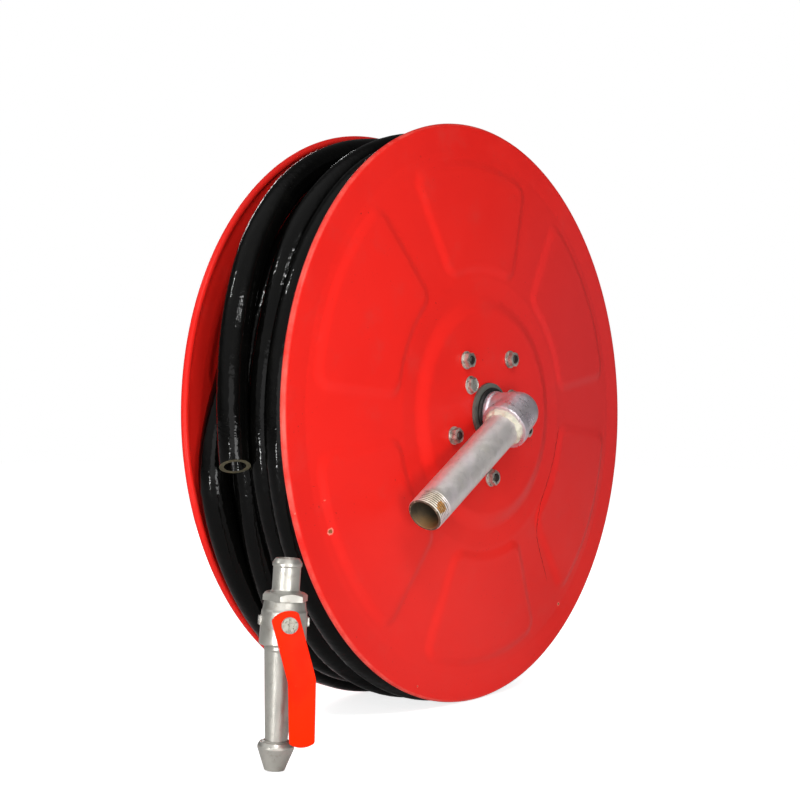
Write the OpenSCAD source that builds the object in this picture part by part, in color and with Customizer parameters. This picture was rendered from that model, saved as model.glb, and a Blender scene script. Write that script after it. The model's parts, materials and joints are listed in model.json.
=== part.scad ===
// Fire hose reel: two pressed discs on a water-fed hub, a wound rubber hose and its hand nozzle.
// Reel axes: x to the right, y up, z along the spindle towards the inlet, zero at the front rim.

/* [Discs] */
// Outer diameter of each side disc over its rolled rim
disc_d = 550; // [545:1:560]
// Distance between the rim planes of the two discs
rim_gap = 115; // [112:1:120]
// Thickness of the disc sheet
sheet_t = 1.5; // [1.2:0.1:2]
// Diameter of the bead rolled round each rim
rim_bead_d = 7; // [5:0.5:8]
// Width of the flat band inside the rim bead
rim_band_w = 22; // [16:1:28]
// Diameter of the flat middle boss
boss_d = 202; // [200:1:206]
// Height of the middle boss over the rim plane
boss_rise = 20; // [18:0.5:24]
// Width of the slope round the boss
boss_slope_w = 7; // [5:1:9]
// Width of the flat channel round the boss
channel_w = 20; // [14:1:22]
// Depth of the channel below the boss
channel_drop = 5; // [3:0.5:6]
// Number of raised panels in each disc
panel_count = 6; // [5:1:8]
// Angle that each raised panel spans
panel_angle = 46; // [34:1:56]
// Angle of the middle of the first panel
panel_first = 92; // [80:1:100]
// Height of a panel over the cone of the disc
panel_rise = 2.5; // [2:0.5:5]
// Gap between the channel and the panels
panel_start = 6; // [4:1:10]
// Gap between the panels and the flat rim band
panel_end = 10; // [6:1:16]
// Width of the slope at each end of a panel
panel_slope_w = 5; // [3:1:8]

/* [Hub] */
// Outer diameter of the fixed spindle
spindle_d = 34; // [33:0.5:36]
// Diameter of the waterway in the spindle
spindle_bore_d = 24; // [20:1:26]
// Diameter of each water port in the spindle
port_d = 10; // [8:1:12]
// Radial clearance of the running fits
running_fit = 0.05; // [0.03:0.01:0.08]
// Gap between the turning hub and the fixed washers
end_gap = 0.3; // [0.2:0.1:0.6]
// Outer diameter of the hub body
hub_d = 56; // [54:1:60]
// Wall of the bearing bushes
bush_wall = 4; // [3:0.5:5]
// Length of each bearing bush
bush_len = 30; // [24:1:36]
// Width of each hub seal
seal_w = 5; // [4:0.5:7]
// Diameter of the water chamber in the hub
chamber_d = 48; // [46:1:50]
// Length of the water chamber in the hub
chamber_len = 46; // [40:1:60]
// How far the hub nose stands out of each disc
hub_nose = 2.5; // [1.5:0.5:5]
// Diameter of the hub flanges
flange_d = 96; // [92:1:100]
// Thickness of the hub flanges
flange_t = 8; // [6:0.5:10]
// Diameter of the thrust washers
thrust_d = 48; // [44:1:54]
// Thickness of the thrust washers
thrust_t = 2.7; // [2:0.1:4]
// Diameter of the threaded end of the spindle
spindle_end_d = 24; // [22:1:27]
// Width across the flats of the spindle nut
spindle_nut_af = 36; // [34:1:38]
// Thickness of the spindle nut
spindle_nut_t = 12; // [10:0.5:14]
// Thread left standing out of a nut
thread_stand = 6; // [3:0.5:8]

/* [Fasteners] */
// Number of tie rods between the discs
tie_count = 5; // [4:1:6]
// Diameter of the circle that the tie rods stand on
tie_pcd = 124; // [122:1:130]
// Angle of the first tie rod
tie_start = 56; // [50:1:60]
// Number of bolts in each hub flange
hub_bolt_count = 3; // [3:1:4]
// Diameter of the circle that the flange bolts stand on
hub_bolt_pcd = 80; // [76:1:80]
// Angle of the first flange bolt
hub_bolt_start = 20; // [10:1:24]
// Thread diameter of the tie rods and flange bolts
thread_d = 8; // [6:0.5:8]
// Play of a bolt in its hole, on the diameter
bolt_play = 0.6; // [0.3:0.1:1]
// Width across the flats of the nuts and bolt heads
nut_af = 13; // [12:0.5:13]
// Thickness of the tie nuts
nut_t = 5.5; // [5:0.5:7]
// Thread left standing out of a nut on the tie rods
tie_stand = 1; // [0.5:0.5:6]
// Thickness of the flange bolt heads
head_t = 5; // [4:0.1:6]
// Diameter of the flange under each bolt head
head_flange_d = 17.5; // [15:0.5:19]
// Thickness of the flange under each bolt head
head_flange_t = 1.2; // [0.8:0.1:2]
// Diameter of the flat washers
washer_d = 17; // [15:0.5:18]
// Thickness of the flat washers
washer_t = 1.6; // [1.2:0.1:2]
// Outer diameter of the spacer tubes
spacer_d = 16; // [14:0.5:16]

/* [Inlet] */
// Outer diameter of the inlet pipe
pipe_d = 33.7; // [33:0.1:34.5]
// Wall of the inlet pipe
pipe_wall = 3.2; // [2.6:0.1:4]
// Diameter of the inlet pipe over its thread
pipe_thread_d = 33.2; // [32:0.1:33.2]
// Length of the thread on the inlet pipe
pipe_thread_len = 19; // [16:1:24]
// Distance from the middle of the elbow to the pipe mouth
pipe_reach = 172; // [140:1:220]
// Angle of the pipe below the horizontal
pipe_drop = 31.4; // [10:0.1:60]
// Distance from the middle of the elbow to each end
elbow_leg = 26.5; // [26:0.5:30]
// Outer diameter of the elbow at its corner
elbow_d = 39.5; // [38:0.5:41]
// Diameter of the elbow's bead at the spindle
elbow_bead_d = 40.5; // [40:0.5:46]
// Width of the elbow's bead at the spindle
elbow_bead_w = 4.5; // [3:0.5:8]
// Diameter of the elbow's collar at the pipe
elbow_collar_d = 46; // [43:0.5:48]
// Width of the elbow's collar at the pipe
elbow_collar_w = 8; // [6:0.5:10]
// How far the beads and collars of the elbows stand over their sides
bead_step = 1.6; // [0.8:0.1:2]
// Width of the ring of jointing compound
compound_w = 4; // [1.5:0.5:6]
// Thickness of the ring of jointing compound
compound_t = 2.8; // [0.8:0.1:4]

/* [Outlet] */
// Outer diameter of the outlet nipple
outlet_d = 26; // [25:0.5:27]
// Wall of the outlet fittings
outlet_wall = 3; // [2.5:0.5:4]
// Diameter of the outlet boss on the hub
outlet_boss_d = 35; // [33:1:37]
// Distance from the spindle axis to the end of the outlet boss
outlet_boss_r = 37; // [35:1:40]
// Clearance between the outlet elbow and the drum core
outlet_gap = 2; // [1:0.5:4]
// Distance from the middle of the outlet elbow to each end
outlet_leg = 20; // [19:0.5:21]
// Diameter of the outlet elbow bend
outlet_bend_d = 30; // [29:0.5:31]
// Width of the beads on the outlet elbow
outlet_bead_w = 6; // [5:0.5:7]
// Diameter of the beads on the outlet elbow
outlet_bead_d = 35; // [32:0.5:35]
// Length of the outlet barb outside the elbow
outlet_barb_len = 30; // [26:1:34]
// Length of the hose on the outlet barb, up to the hose pack
lead_len = 68; // [66:1:74]
// Thickness of the hose clamp band
clamp_t = 1.2; // [0.8:0.1:1.2]
// Width of the hose clamp band
clamp_w = 9; // [8:0.5:10]
// Diameter of the screw housing on the hose clamp
clamp_screw_d = 6; // [5:0.5:7]
// Clearance round the hose clamp where it passes the tie rods, the drum core and the hose
lead_gap = 1; // [0.5:0.1:2]

/* [Hose] */
// Outer diameter of the rubber hose
hose_od = 27; // [25:0.1:27.2]
// Bore of the rubber hose
hose_bore = 19; // [17:0.1:20]
// Outer diameter of the drum core sleeve
core_d = 200; // [196:1:200]
// Depth of the outer turns' middle below the disc edge
turn_sink = 18; // [16:0.5:20]
// Gap left between neighbouring turns
turn_gap = 0.5; // [0.45:0.05:0.9]
// Sag of the loose turns at the lower left
turn_sag = 8; // [0:0.5:8]
// Clearance between the hose pack and the discs
pack_gap = 1; // [0.6:0.1:2]

/* [Nozzle] */
// Height of the nozzle's tip cone
tip_len = 22; // [20:1:26]
// Diameter of the tip cone's mouth
tip_mouth_d = 15.5; // [14:0.5:17]
// Largest diameter of the tip cone
tip_d = 28.4; // [26:0.1:30]
// Diameter of the jet bore
jet_d = 8; // [6:0.5:9]
// Length of the barrel between the tip and the valve
barrel_len = 74; // [60:1:80]
// Diameter of the barrel at the tip
barrel_low_d = 17.4; // [15:0.1:19]
// Diameter of the barrel at the valve
barrel_top_d = 28; // [24:0.5:30]
// Diameter of the barrel's thread in the valve body
barrel_thread_d = 22; // [19:0.5:23]
// Diameter of the waterway in the barrel
barrel_bore_d = 11; // [9:0.5:11]
// How far each nozzle piece enters the next
joint_depth = 3; // [2:0.5:3]
// Length of the valve body
valve_len = 34.5; // [34:0.5:37]
// Largest diameter of the valve body, at its foot
valve_d = 36.5; // [36:0.5:40]
// Diameter of the valve body at its neck, under the hexagon
valve_neck_d = 32; // [31:0.5:34]
// Height of the valve ball over the middle of the valve body
ball_rise = 1.5; // [0:0.5:2]
// Diameter of the valve ball
ball_d = 24; // [23:0.5:24.5]
// Bore of the valve ball
ball_bore_d = 15; // [13:0.5:15.5]
// Play of the ball in its seats, on the radius
ball_play = 0.1; // [0.05:0.01:0.15]
// Thickness of the ball seats
seat_t = 4.5; // [4:0.5:5]
// Width across the flats of the barb's hexagon
barb_hex_af = 31.5; // [28:0.5:34]
// Thickness of the barb's hexagon
barb_hex_t = 6.5; // [6:0.5:10]
// Turn of the barb's hexagon from the lever's side
barb_hex_turn = -21; // [-30:1:30]
// Diameter of the barb
barb_d = 21.4; // [20:0.1:22.4]
// Length of the barb below its end bead
barb_len = 19.5; // [16:0.5:24]
// Diameter of the bead at the end of the barb
barb_bead_d = 23; // [22.6:0.1:24.5]
// Length of the bead at the end of the barb
barb_bead_len = 3; // [2:0.5:5]
// Length of the lead-in cone over the bead
barb_cone_len = 3.5; // [2:0.5:5]
// Diameter of the waterway in the barb
barb_bore_d = 15.5; // [14:0.5:16]
// Lean of the loose nozzle from the vertical
nozzle_lean = 3.7; // [0:0.1:5]

/* [Valve lever] */
// Diameter of the valve stem
stem_d = 8; // [7:0.5:9]
// Diameter of the stem boss on the valve body
stem_boss_d = 16; // [15:0.5:18]
// Height of the stem boss over the valve body
stem_boss_rise = 4; // [2:0.5:5]
// Thickness of the gland ring on the stem
gland_t = 3; // [2:0.5:4]
// Thickness of the lever strap
lever_t = 3; // [2.5:0.1:4]
// Width of the lever strap
lever_w = 21.4; // [18:0.1:22]
// Width of the lever strap at its lower end
lever_end_w = 19.6; // [17:0.1:22]
// How far the strap's middle line lies beside its pivot
lever_shift = 1.4; // [0:0.1:2]
// Length of the lever from its pivot to the bend
lever_upper = 43.5; // [36:0.5:46]
// Angle of the upper part of the lever to the nozzle
lever_upper_angle = 18.5; // [12:0.5:22]
// Length of the lever from the bend to its end
lever_lower = 50.5; // [40:0.5:60]
// Angle of the lower part of the lever to the nozzle
lever_lower_angle = 3.6; // [3:0.1:10]
// How far the lever stands over its pivot
lever_head = 11; // [10:0.5:14]
// Radius of the flat arc at each end of the lever
lever_end_r = 17; // [12:0.5:20]
// Diameter of the lever screw's head
screw_head_d = 12.6; // [11:0.2:14]
// Thickness of the lever screw's head
screw_head_t = 3.5; // [2.5:0.5:5]
// Diameter of the lever screw's thread
screw_d = 4; // [3:0.5:4.5]
// Width of the slot in the lever screw
screw_slot_w = 1.6; // [1:0.1:2]

/* [Hidden] */
$fn = 96;

// A cut runs this far past the face that it opens
cut = 1;

disc_r = disc_d / 2;
bead_r = rim_bead_d / 2;
boss_r = boss_d / 2;
boss_foot_r = boss_r + boss_slope_w;
channel_r = boss_foot_r + channel_w;
channel_rise = boss_rise - channel_drop;
band_r = disc_r - bead_r - rim_band_w;
panel_in_r = channel_r + panel_start;
panel_out_r = band_r - panel_end;
// The pressed sheet is cut from a solid form this deep behind the rim plane
form_depth = 10;
// Space left between the two pipes that end in one elbow
end_clearance = 0.5;

mid_z = -rim_gap / 2;
boss_in_z = boss_rise - sheet_t;
nose_z = boss_rise + hub_nose;
hub_end_z = -rim_gap - nose_z;
hub_len = nose_z - hub_end_z;
bush_d = spindle_d + 2 * running_fit;
housing_d = bush_d + 2 * bush_wall;
washer_z = nose_z + end_gap;
elbow_face_z = washer_z + thrust_t;
elbow_z = elbow_face_z + elbow_leg;
elbow_socket = elbow_leg - max(spindle_d, pipe_d) / 2 - end_clearance;
shoulder_z = hub_end_z - end_gap;
nut_face_z = shoulder_z - thrust_t;
spindle_front_z = elbow_face_z + elbow_socket;

pipe_mouth = [-pipe_reach * cos(pipe_drop), -pipe_reach * sin(pipe_drop), elbow_z];
bolt_hole_d = thread_d + bolt_play;

hose_r = hose_od / 2;
outlet_bore_d = outlet_d - 2 * outlet_wall;
outlet_socket = outlet_leg - outlet_d / 2 - end_clearance;
lead_start = outlet_leg + 2;
lead_end = lead_start + lead_len;
// The elbow turns inside the drum core, and its hose passes the third tie rod
outlet_elbow_r = sqrt(pow(core_d / 2 - sheet_t - outlet_gap, 2) - pow(outlet_leg, 2))
    - outlet_bead_d / 2;
lead_reach = hose_r + clamp_t + lead_gap;
outlet_angle = tie_start + 2 * 360 / tie_count
    - max(180 / tie_count,
        acos(min(1, (outlet_elbow_r - lead_reach - spacer_d / 2) / (tie_pcd / 2))));
lead_hole_d = hose_od + clamp_t + 2 * (clamp_screw_d + lead_gap);

// Outer layer of the hose: four turns side by side, counted from the front
turn_step = hose_od + turn_gap;
turn_r = disc_r - turn_sink;
turns_wide = 4;
first_turn_z = -(rim_gap - (turns_wide - 1) * turn_step) / 2;
second_turn_z = first_turn_z - turn_step;
// Depth of the last turn below the layer, and how deep the second and third turns bed in
dive = hose_od + 0.8;
second_bed = 10;
third_bed = 17;
// Wound angles between which the hose goes over to the next turn, comes up at its start,
// beds in under the tail and dives below its own end
shift_angle = 240;
rise_angle = 70;
second_in_angles = [435, 465];
second_out_angles = [505, 535];
third_in_angles = [750, 775];
third_out_angles = [850, 890];
dive_in_angles = [890, 950];
dive_out_angles = [1185, 1217];
pocket_angle = 3;
wind_start = 60;
wind_end = 1380;
rings_per_turn = 24;
ring_step = 360 / rings_per_turn;

// Route of the free hose tail, from the end of the winding to the cut end
tail_points = [
    [243, 86, -99], [217, 142, -99], [172, 191, -99], [121, 227, -99],
    [62, 250, -99], [0, 258, -99], [-62, 250, -98], [-114, 233, -94], [-158, 210, -88],
    [-195, 182, -80], [-226, 147, -74], [-249, 105, -68], [-264, 61, -63],
    [-271, 14, -59], [-271, -21, -58], [-268, -53, -58]
];
tail_sides = 12;

// Nozzle heights, from the foot of its tip
barrel_z = tip_len;
valve_z = barrel_z + barrel_len;
hex_z = valve_z + valve_len;
barb_z = hex_z + barb_hex_t;
barb_top_z = barb_z + barb_len + barb_bead_len + barb_cone_len;
ball_z = valve_z + valve_len / 2 + ball_rise;
cavity_d = ball_d + 1.2;
seat_low_z = ball_z - ball_d / 2 - 1.5;
seat_top_z = ball_z + ball_d / 2 + 1.5;
gland_x = valve_d / 2 + stem_boss_rise;
lever_x = gland_x + gland_t + 0.5;
lever_face_x = lever_x + lever_t;
stem_hole_d = stem_d + 2 * running_fit;
// Foot of the nozzle in the reel's axes, and the way that its stem points
nozzle_foot = [-346, -disc_r, 56];
stem_heading = -130;

// Smooth step from 0 at a to 1 at b
function ease(a, b, x) =
    let (t = min(1, max(0, (x - a) / (b - a))))
    t * t * (3 - 2 * t);

// 1 between the angles in and out, with a smooth way there and back
function dip(in, out, wound) = ease(in[0], in[1], wound) - ease(out[0], out[1], wound);

// Place along the spindle of the outer layer after it has wound through an angle
function turn_z(wound) =
    first_turn_z
    - turn_step * ease(shift_angle, 360, wound)
    - turn_step * ease(shift_angle, 360, wound - 360)
    - turn_step * ease(shift_angle, 360, wound - 720);

// Depth below the layer: the start rises out of the pack, the second and third turns bed in
// under the tail, and the last one dives below the end of the hose and comes up again
function turn_dip(wound) =
    dive * (1 - ease(0, rise_angle, wound))
    + second_bed * dip(second_in_angles, second_out_angles, wound)
    + third_bed * dip(third_in_angles, third_out_angles, wound)
    + dive * dip(dive_in_angles, dive_out_angles, wound);

function sag_at(angle) = turn_sag * pow(max(0, cos(angle - 232)), 4);

// Radius of the ground under a turn that lies some depth below the layer
function bed_r(depth) =
    (turn_r - depth - hose_r) * cos(ring_step / 2) - turn_gap;

function turn_point(wound) =
    let (angle = wind_start + wound)
    let (r = turn_r - turn_dip(wound) + sag_at(angle))
    [r * cos(angle), r * sin(angle), turn_z(wound)];

function unit(v) = v / norm(v);
function radial(angle) = [cos(angle), sin(angle), 0];
function tangent(angle) = [-sin(angle), cos(angle), 0];

// Rings of the winding: the run through its turns, with one straight diameter at each end
wind_angles = [for (wound = [2 * ring_step : ring_step : wind_end]) wound];
wind_centres = concat(
    [turn_point(0), turn_point(0) + hose_od * tangent(wind_start)],
    [for (wound = wind_angles) turn_point(wound)],
    [turn_point(wind_end) + hose_od * tangent(wind_start + wind_end)]
);
wind_headings = concat(
    [wind_start, wind_start],
    [for (wound = wind_angles) wind_start + wound],
    [wind_start + wind_end]
);
wind_sides = 6;
wind_points = [
    for (i = [0 : len(wind_centres) - 1]) for (k = [0 : wind_sides - 1])
        let (a = 360 * k / wind_sides)
        wind_centres[i] + hose_r * (cos(a) * radial(wind_headings[i]) + [0, 0, sin(a)])
];

// Least distance between turns that lie beside or over each other, less the hose diameter
wind_gap = min([
    for (i = [0 : len(wind_centres) - 1])
        for (j = [i + rings_per_turn / 2 : 1 : len(wind_centres) - 1])
            norm(wind_centres[i] - wind_centres[j])
]) - hose_od;
echo(least_gap_of_winding = wind_gap);

// Rings of the tail: face to face with the winding, straight for one diameter at each end
tail_start = wind_centres[len(wind_centres) - 1];
tail_route = concat(
    [tail_start, tail_start + hose_od * tangent(wind_start + wind_end)],
    tail_points
);
tail_last = len(tail_route) - 1;
function tail_heading(i) =
    i <= 1 ? tangent(wind_start + wind_end)
    : i >= tail_last - 1 ? unit(tail_route[tail_last] - tail_route[tail_last - 1])
    : unit(tail_route[i + 1] - tail_route[i - 1]);
function tail_side(i) =
    let (out = [tail_route[i][0], tail_route[i][1], 0], along = tail_heading(i))
    unit(out - (out * along) * along);
function tail_ring(i) =
    let (side = tail_side(i), up = cross(tail_heading(i), side))
    [
        for (k = [0 : tail_sides - 1])
            let (a = 360 * k / tail_sides)
            tail_route[i] + hose_r * (cos(a) * side + sin(a) * up)
    ];
tail_end = tail_route[tail_last];
tail_end_way = tail_heading(tail_last);

// Faces of a closed tube of rings, each with the same number of sides, as triangles
function tube_faces(rings, sides) = concat(
    [for (k = [1 : sides - 2]) [0, k, k + 1]],
    [
        for (i = [0 : rings - 2]) for (k = [0 : sides - 1]) for (half = [0, 1])
            let (a = i * sides + k, b = i * sides + (k + 1) % sides)
            half == 0 ? [a, a + sides, b] : [b, a + sides, b + sides]
    ],
    [for (k = [1 : sides - 2]) [for (m = [0, k + 1, k]) (rings - 1) * sides + m]]
);

// Puts reel axes into the part's frame, whose origin is the mouth of the inlet pipe
module reel_frame() {
    rotate([90, 0, 0])
        translate(-pipe_mouth)
            children();
}

// From the middle of the inlet elbow, with z along the pipe
module along_pipe() {
    translate([0, 0, elbow_z])
        rotate([0, 90, 180 + pipe_drop])
            children();
}

// From the spindle axis at the middle of the drum, with z along the outlet
module along_outlet() {
    translate([0, 0, mid_z])
        rotate([0, 90, outlet_angle])
            children();
}

// From the middle of the outlet elbow, with z along the hose on its barb
module along_lead() {
    translate([0, 0, mid_z])
        rotate([0, 0, outlet_angle])
            translate([outlet_elbow_r, 0, 0])
                rotate([-90, 0, 0])
                    children();
}

// Nozzle axes: x along the valve stem, z up the nozzle from its foot
module nozzle_frame() {
    reel_frame()
        translate(nozzle_foot)
            rotate([-90, 0, 0])
                rotate([0, 0, stem_heading])
                    rotate([-nozzle_lean, 0, 0])
                        children();
}

module tube(outer, inner, length) {
    difference() {
        cylinder(d = outer, h = length);
        translate([0, 0, -cut]) cylinder(d = inner, h = length + 2 * cut);
    }
}

module hexagon(across_flats, height) {
    cylinder(d = across_flats / cos(30), h = height, $fn = 6);
}

module on_ties() {
    for (i = [0 : tie_count - 1])
        rotate([0, 0, tie_start + i * 360 / tie_count])
            translate([tie_pcd / 2, 0, 0])
                children();
}

module on_hub_bolts() {
    for (i = [0 : hub_bolt_count - 1])
        rotate([0, 0, hub_bolt_start + i * 360 / hub_bolt_count])
            translate([hub_bolt_pcd / 2, 0, 0])
                children();
}

// Repeats what stands on the front disc on the rear disc
module at_rear() {
    translate([0, 0, -rim_gap]) mirror([0, 0, 1]) children();
}

// Height of the cone that falls from the channel to the rim band
function cone_rise(r) =
    channel_rise + (bead_r - channel_rise) * (r - channel_r) / (band_r - channel_r);

// One raised panel, centred on the x axis; wall narrows it for the inside of the sheet
module raised_panel(wall) {
    side = panel_angle / 2 - asin(wall / panel_in_r);
    rotate([0, 0, -side])
        rotate_extrude(angle = 2 * side)
            polygon([
                [panel_in_r - 1, -form_depth / 2],
                [panel_in_r - 1, cone_rise(panel_in_r - 1) - 1],
                [panel_in_r + panel_slope_w, cone_rise(panel_in_r + panel_slope_w) + panel_rise],
                [panel_out_r - panel_slope_w, cone_rise(panel_out_r - panel_slope_w) + panel_rise],
                [panel_out_r + 1, cone_rise(panel_out_r + 1) - 1],
                [panel_out_r + 1, -form_depth / 2]
            ]);
}

// Solid under the pressed face; wall shrinks the panels, spread widens the edge
module pressed_form(wall, spread) {
    rotate_extrude()
        polygon([
            [0, -form_depth],
            [0, boss_rise],
            [boss_r, boss_rise],
            [boss_foot_r, channel_rise],
            [channel_r, channel_rise],
            [band_r, bead_r],
            [disc_r - bead_r + spread, bead_r],
            [disc_r - bead_r + spread, -form_depth]
        ]);
    for (i = [0 : panel_count - 1])
        rotate([0, 0, panel_first + i * 360 / panel_count])
            raised_panel(wall);
}

module disc() {
    difference() {
        pressed_form(0, 0);
        translate([0, 0, -sheet_t]) pressed_form(sheet_t, cut);
        translate([0, 0, -form_depth]) {
            cylinder(d = hub_d + bolt_play, h = boss_rise + 2 * form_depth);
            on_ties() cylinder(d = bolt_hole_d, h = boss_rise + 2 * form_depth);
            on_hub_bolts() cylinder(d = bolt_hole_d, h = boss_rise + 2 * form_depth);
        }
    }
    rotate_extrude()
        translate([disc_r - bead_r, 0])
            circle(r = bead_r);
}

// Pipe elbow with its middle at the origin, one end towards -z and the other towards x: its
// sides taper from a round corner to a bead at each end
module elbow(leg, corner_d, beads_d, beads_w, bore_d, socket, sockets_d) {
    difference() {
        union() {
            sphere(d = corner_d);
            for (end = [0, 1])
                rotate([0, end == 0 ? 180 : 90, 0]) {
                    cylinder(d1 = corner_d, d2 = beads_d[end] - 2 * bead_step, h = leg);
                    translate([0, 0, leg - beads_w[end]])
                        cylinder(d = beads_d[end], h = beads_w[end]);
                }
        }
        sphere(d = bore_d);
        for (end = [0, 1])
            rotate([0, end == 0 ? 180 : 90, 0]) {
                cylinder(d = bore_d, h = leg + cut);
                translate([0, 0, leg - socket]) cylinder(d = sockets_d[end], h = socket + cut);
            }
    }
}

module inlet_pipe() color("silver") reel_frame() along_pipe() {
    start = elbow_leg - elbow_socket;
    difference() {
        union() {
            translate([0, 0, start])
                cylinder(d = pipe_d, h = pipe_reach - pipe_thread_len - start);
            translate([0, 0, start + cut])
                cylinder(d = pipe_thread_d, h = pipe_reach - start - cut);
        }
        translate([0, 0, start - cut])
            cylinder(d = pipe_d - 2 * pipe_wall, h = pipe_reach - start + 2 * cut);
    }
}

module inlet_elbow() color("lightgray") reel_frame()
    translate([0, 0, elbow_z])
        rotate([0, 0, 180 + pipe_drop])
            elbow(elbow_leg, elbow_d, [elbow_bead_d, elbow_collar_d],
                [elbow_bead_w, elbow_collar_w], pipe_d - 2 * pipe_wall, elbow_socket,
                [spindle_d, pipe_d]);

// Ring of jointing compound where the pipe enters the elbow
module pipe_compound() color("ivory") reel_frame() along_pipe()
    translate([0, 0, elbow_leg]) difference() {
        cylinder(d1 = pipe_d + 2 * compound_t, d2 = pipe_d + compound_t / 2, h = compound_w);
        translate([0, 0, -cut]) cylinder(d = pipe_d, h = compound_w + 2 * cut);
    }

// Hollow shaft that the drum turns on: open to the elbow, closed at its threaded end
module spindle() color("gainsboro") reel_frame() difference() {
    union() {
        translate([0, 0, shoulder_z])
            cylinder(d = spindle_d, h = spindle_front_z - shoulder_z);
        translate([0, 0, nut_face_z - spindle_nut_t - thread_stand])
            cylinder(d = spindle_end_d, h = shoulder_z - nut_face_z + spindle_nut_t + thread_stand + cut);
    }
    translate([0, 0, mid_z - chamber_len / 2])
        cylinder(d = spindle_bore_d, h = spindle_front_z - mid_z + chamber_len / 2 + cut);
    for (turn = [0, 90])
        rotate([0, 90, turn])
            translate([-mid_z, 0, -spindle_d])
                cylinder(d = port_d, h = 2 * spindle_d);
}

module front_thrust_washer() color("dimgray") reel_frame()
    translate([0, 0, washer_z]) tube(thrust_d, spindle_d, thrust_t);

module rear_thrust_washer() color("dimgray") reel_frame()
    translate([0, 0, nut_face_z]) tube(thrust_d, spindle_end_d, thrust_t);

module spindle_nut() color("silver") reel_frame()
    translate([0, 0, nut_face_z - spindle_nut_t])
        difference() {
            hexagon(spindle_nut_af, spindle_nut_t);
            translate([0, 0, -cut]) cylinder(d = spindle_end_d, h = spindle_nut_t + 2 * cut);
        }

module front_disc() color("red") reel_frame() disc();

module rear_disc() color("red") reel_frame() at_rear() disc();

// Rolled sleeve that the hose is wound on, with a window for the hose from the hub
module drum_core() color("dimgray") reel_frame() difference() {
    translate([0, 0, -rim_gap - boss_in_z])
        tube(core_d, core_d - 2 * sheet_t, rim_gap + 2 * boss_in_z);
    along_lead() cylinder(d = lead_hole_d, h = core_d);
}

// Turning hub: a tube with two flanges, a water chamber and a boss for the outlet
module hub_body() color("darkgray") reel_frame() difference() {
    union() {
        translate([0, 0, hub_end_z]) cylinder(d = hub_d, h = hub_len);
        translate([0, 0, boss_in_z - flange_t]) cylinder(d = flange_d, h = flange_t);
        at_rear() translate([0, 0, boss_in_z - flange_t]) cylinder(d = flange_d, h = flange_t);
        along_outlet() cylinder(d = outlet_boss_d, h = outlet_boss_r);
    }
    translate([0, 0, hub_end_z - cut]) cylinder(d = housing_d, h = hub_len + 2 * cut);
    translate([0, 0, mid_z - chamber_len / 2]) cylinder(d = chamber_d, h = chamber_len);
    along_outlet() cylinder(d = outlet_d, h = outlet_boss_r + cut);
    for (end_z = [boss_in_z - flange_t - cut, -rim_gap - boss_in_z - cut])
        translate([0, 0, end_z])
            on_hub_bolts() cylinder(d = thread_d, h = flange_t + 2 * cut);
}

module front_bush() color("peru") reel_frame()
    translate([0, 0, nose_z - bush_len]) tube(housing_d, bush_d, bush_len);

module rear_bush() color("peru") reel_frame()
    at_rear() translate([0, 0, nose_z - bush_len]) tube(housing_d, bush_d, bush_len);

module front_seal() color("black") reel_frame()
    translate([0, 0, nose_z - bush_len - seal_w]) tube(housing_d, bush_d, seal_w);

module rear_seal() color("black") reel_frame()
    at_rear() translate([0, 0, nose_z - bush_len - seal_w]) tube(housing_d, bush_d, seal_w);

// Bolts through the disc into the hub flange, with their heads outside
module hub_bolts() {
    on_hub_bolts() {
        translate([0, 0, boss_rise]) cylinder(d = head_flange_d, h = head_flange_t);
        translate([0, 0, boss_rise + head_flange_t - cut]) hexagon(nut_af, head_t - head_flange_t + cut);
        translate([0, 0, boss_in_z - flange_t])
            cylinder(d = thread_d, h = flange_t + sheet_t + cut);
    }
}

module front_hub_bolts() color("silver") reel_frame() hub_bolts();

module rear_hub_bolts() color("silver") reel_frame() at_rear() hub_bolts();

module spacer_tubes() color("gray") reel_frame() on_ties()
    translate([0, 0, -rim_gap - boss_in_z])
        tube(spacer_d, bolt_hole_d, rim_gap + 2 * boss_in_z);

module tie_rods() color("silver") reel_frame() on_ties() {
    reach = boss_rise + washer_t + nut_t + tie_stand;
    translate([0, 0, -rim_gap - reach]) cylinder(d = thread_d, h = rim_gap + 2 * reach);
}

module tie_washers() {
    on_ties() translate([0, 0, boss_rise]) tube(washer_d, bolt_hole_d, washer_t);
}

module tie_nuts() {
    on_ties() translate([0, 0, boss_rise + washer_t]) difference() {
        hexagon(nut_af, nut_t);
        translate([0, 0, -cut]) cylinder(d = thread_d, h = nut_t + 2 * cut);
    }
}

module front_tie_washers() color("silver") reel_frame() tie_washers();

module rear_tie_washers() color("silver") reel_frame() at_rear() tie_washers();

module front_tie_nuts() color("silver") reel_frame() tie_nuts();

module rear_tie_nuts() color("silver") reel_frame() at_rear() tie_nuts();

// Nipple from the chamber of the hub to the outlet elbow
module outlet_nipple() color("goldenrod") reel_frame() along_outlet()
    translate([0, 0, chamber_d / 2 + cut])
        tube(outlet_d, outlet_bore_d,
            outlet_elbow_r - outlet_leg + outlet_socket - chamber_d / 2 - cut);

module outlet_elbow() color("goldenrod") reel_frame()
    translate([0, 0, mid_z])
        rotate([0, 0, outlet_angle])
            translate([outlet_elbow_r, 0, 0])
                rotate([90, 0, 90])
                    elbow(outlet_leg, outlet_bend_d, [outlet_bead_d, outlet_bead_d],
                        [outlet_bead_w, outlet_bead_w], outlet_bore_d, outlet_socket,
                        [outlet_d, outlet_d]);

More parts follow.
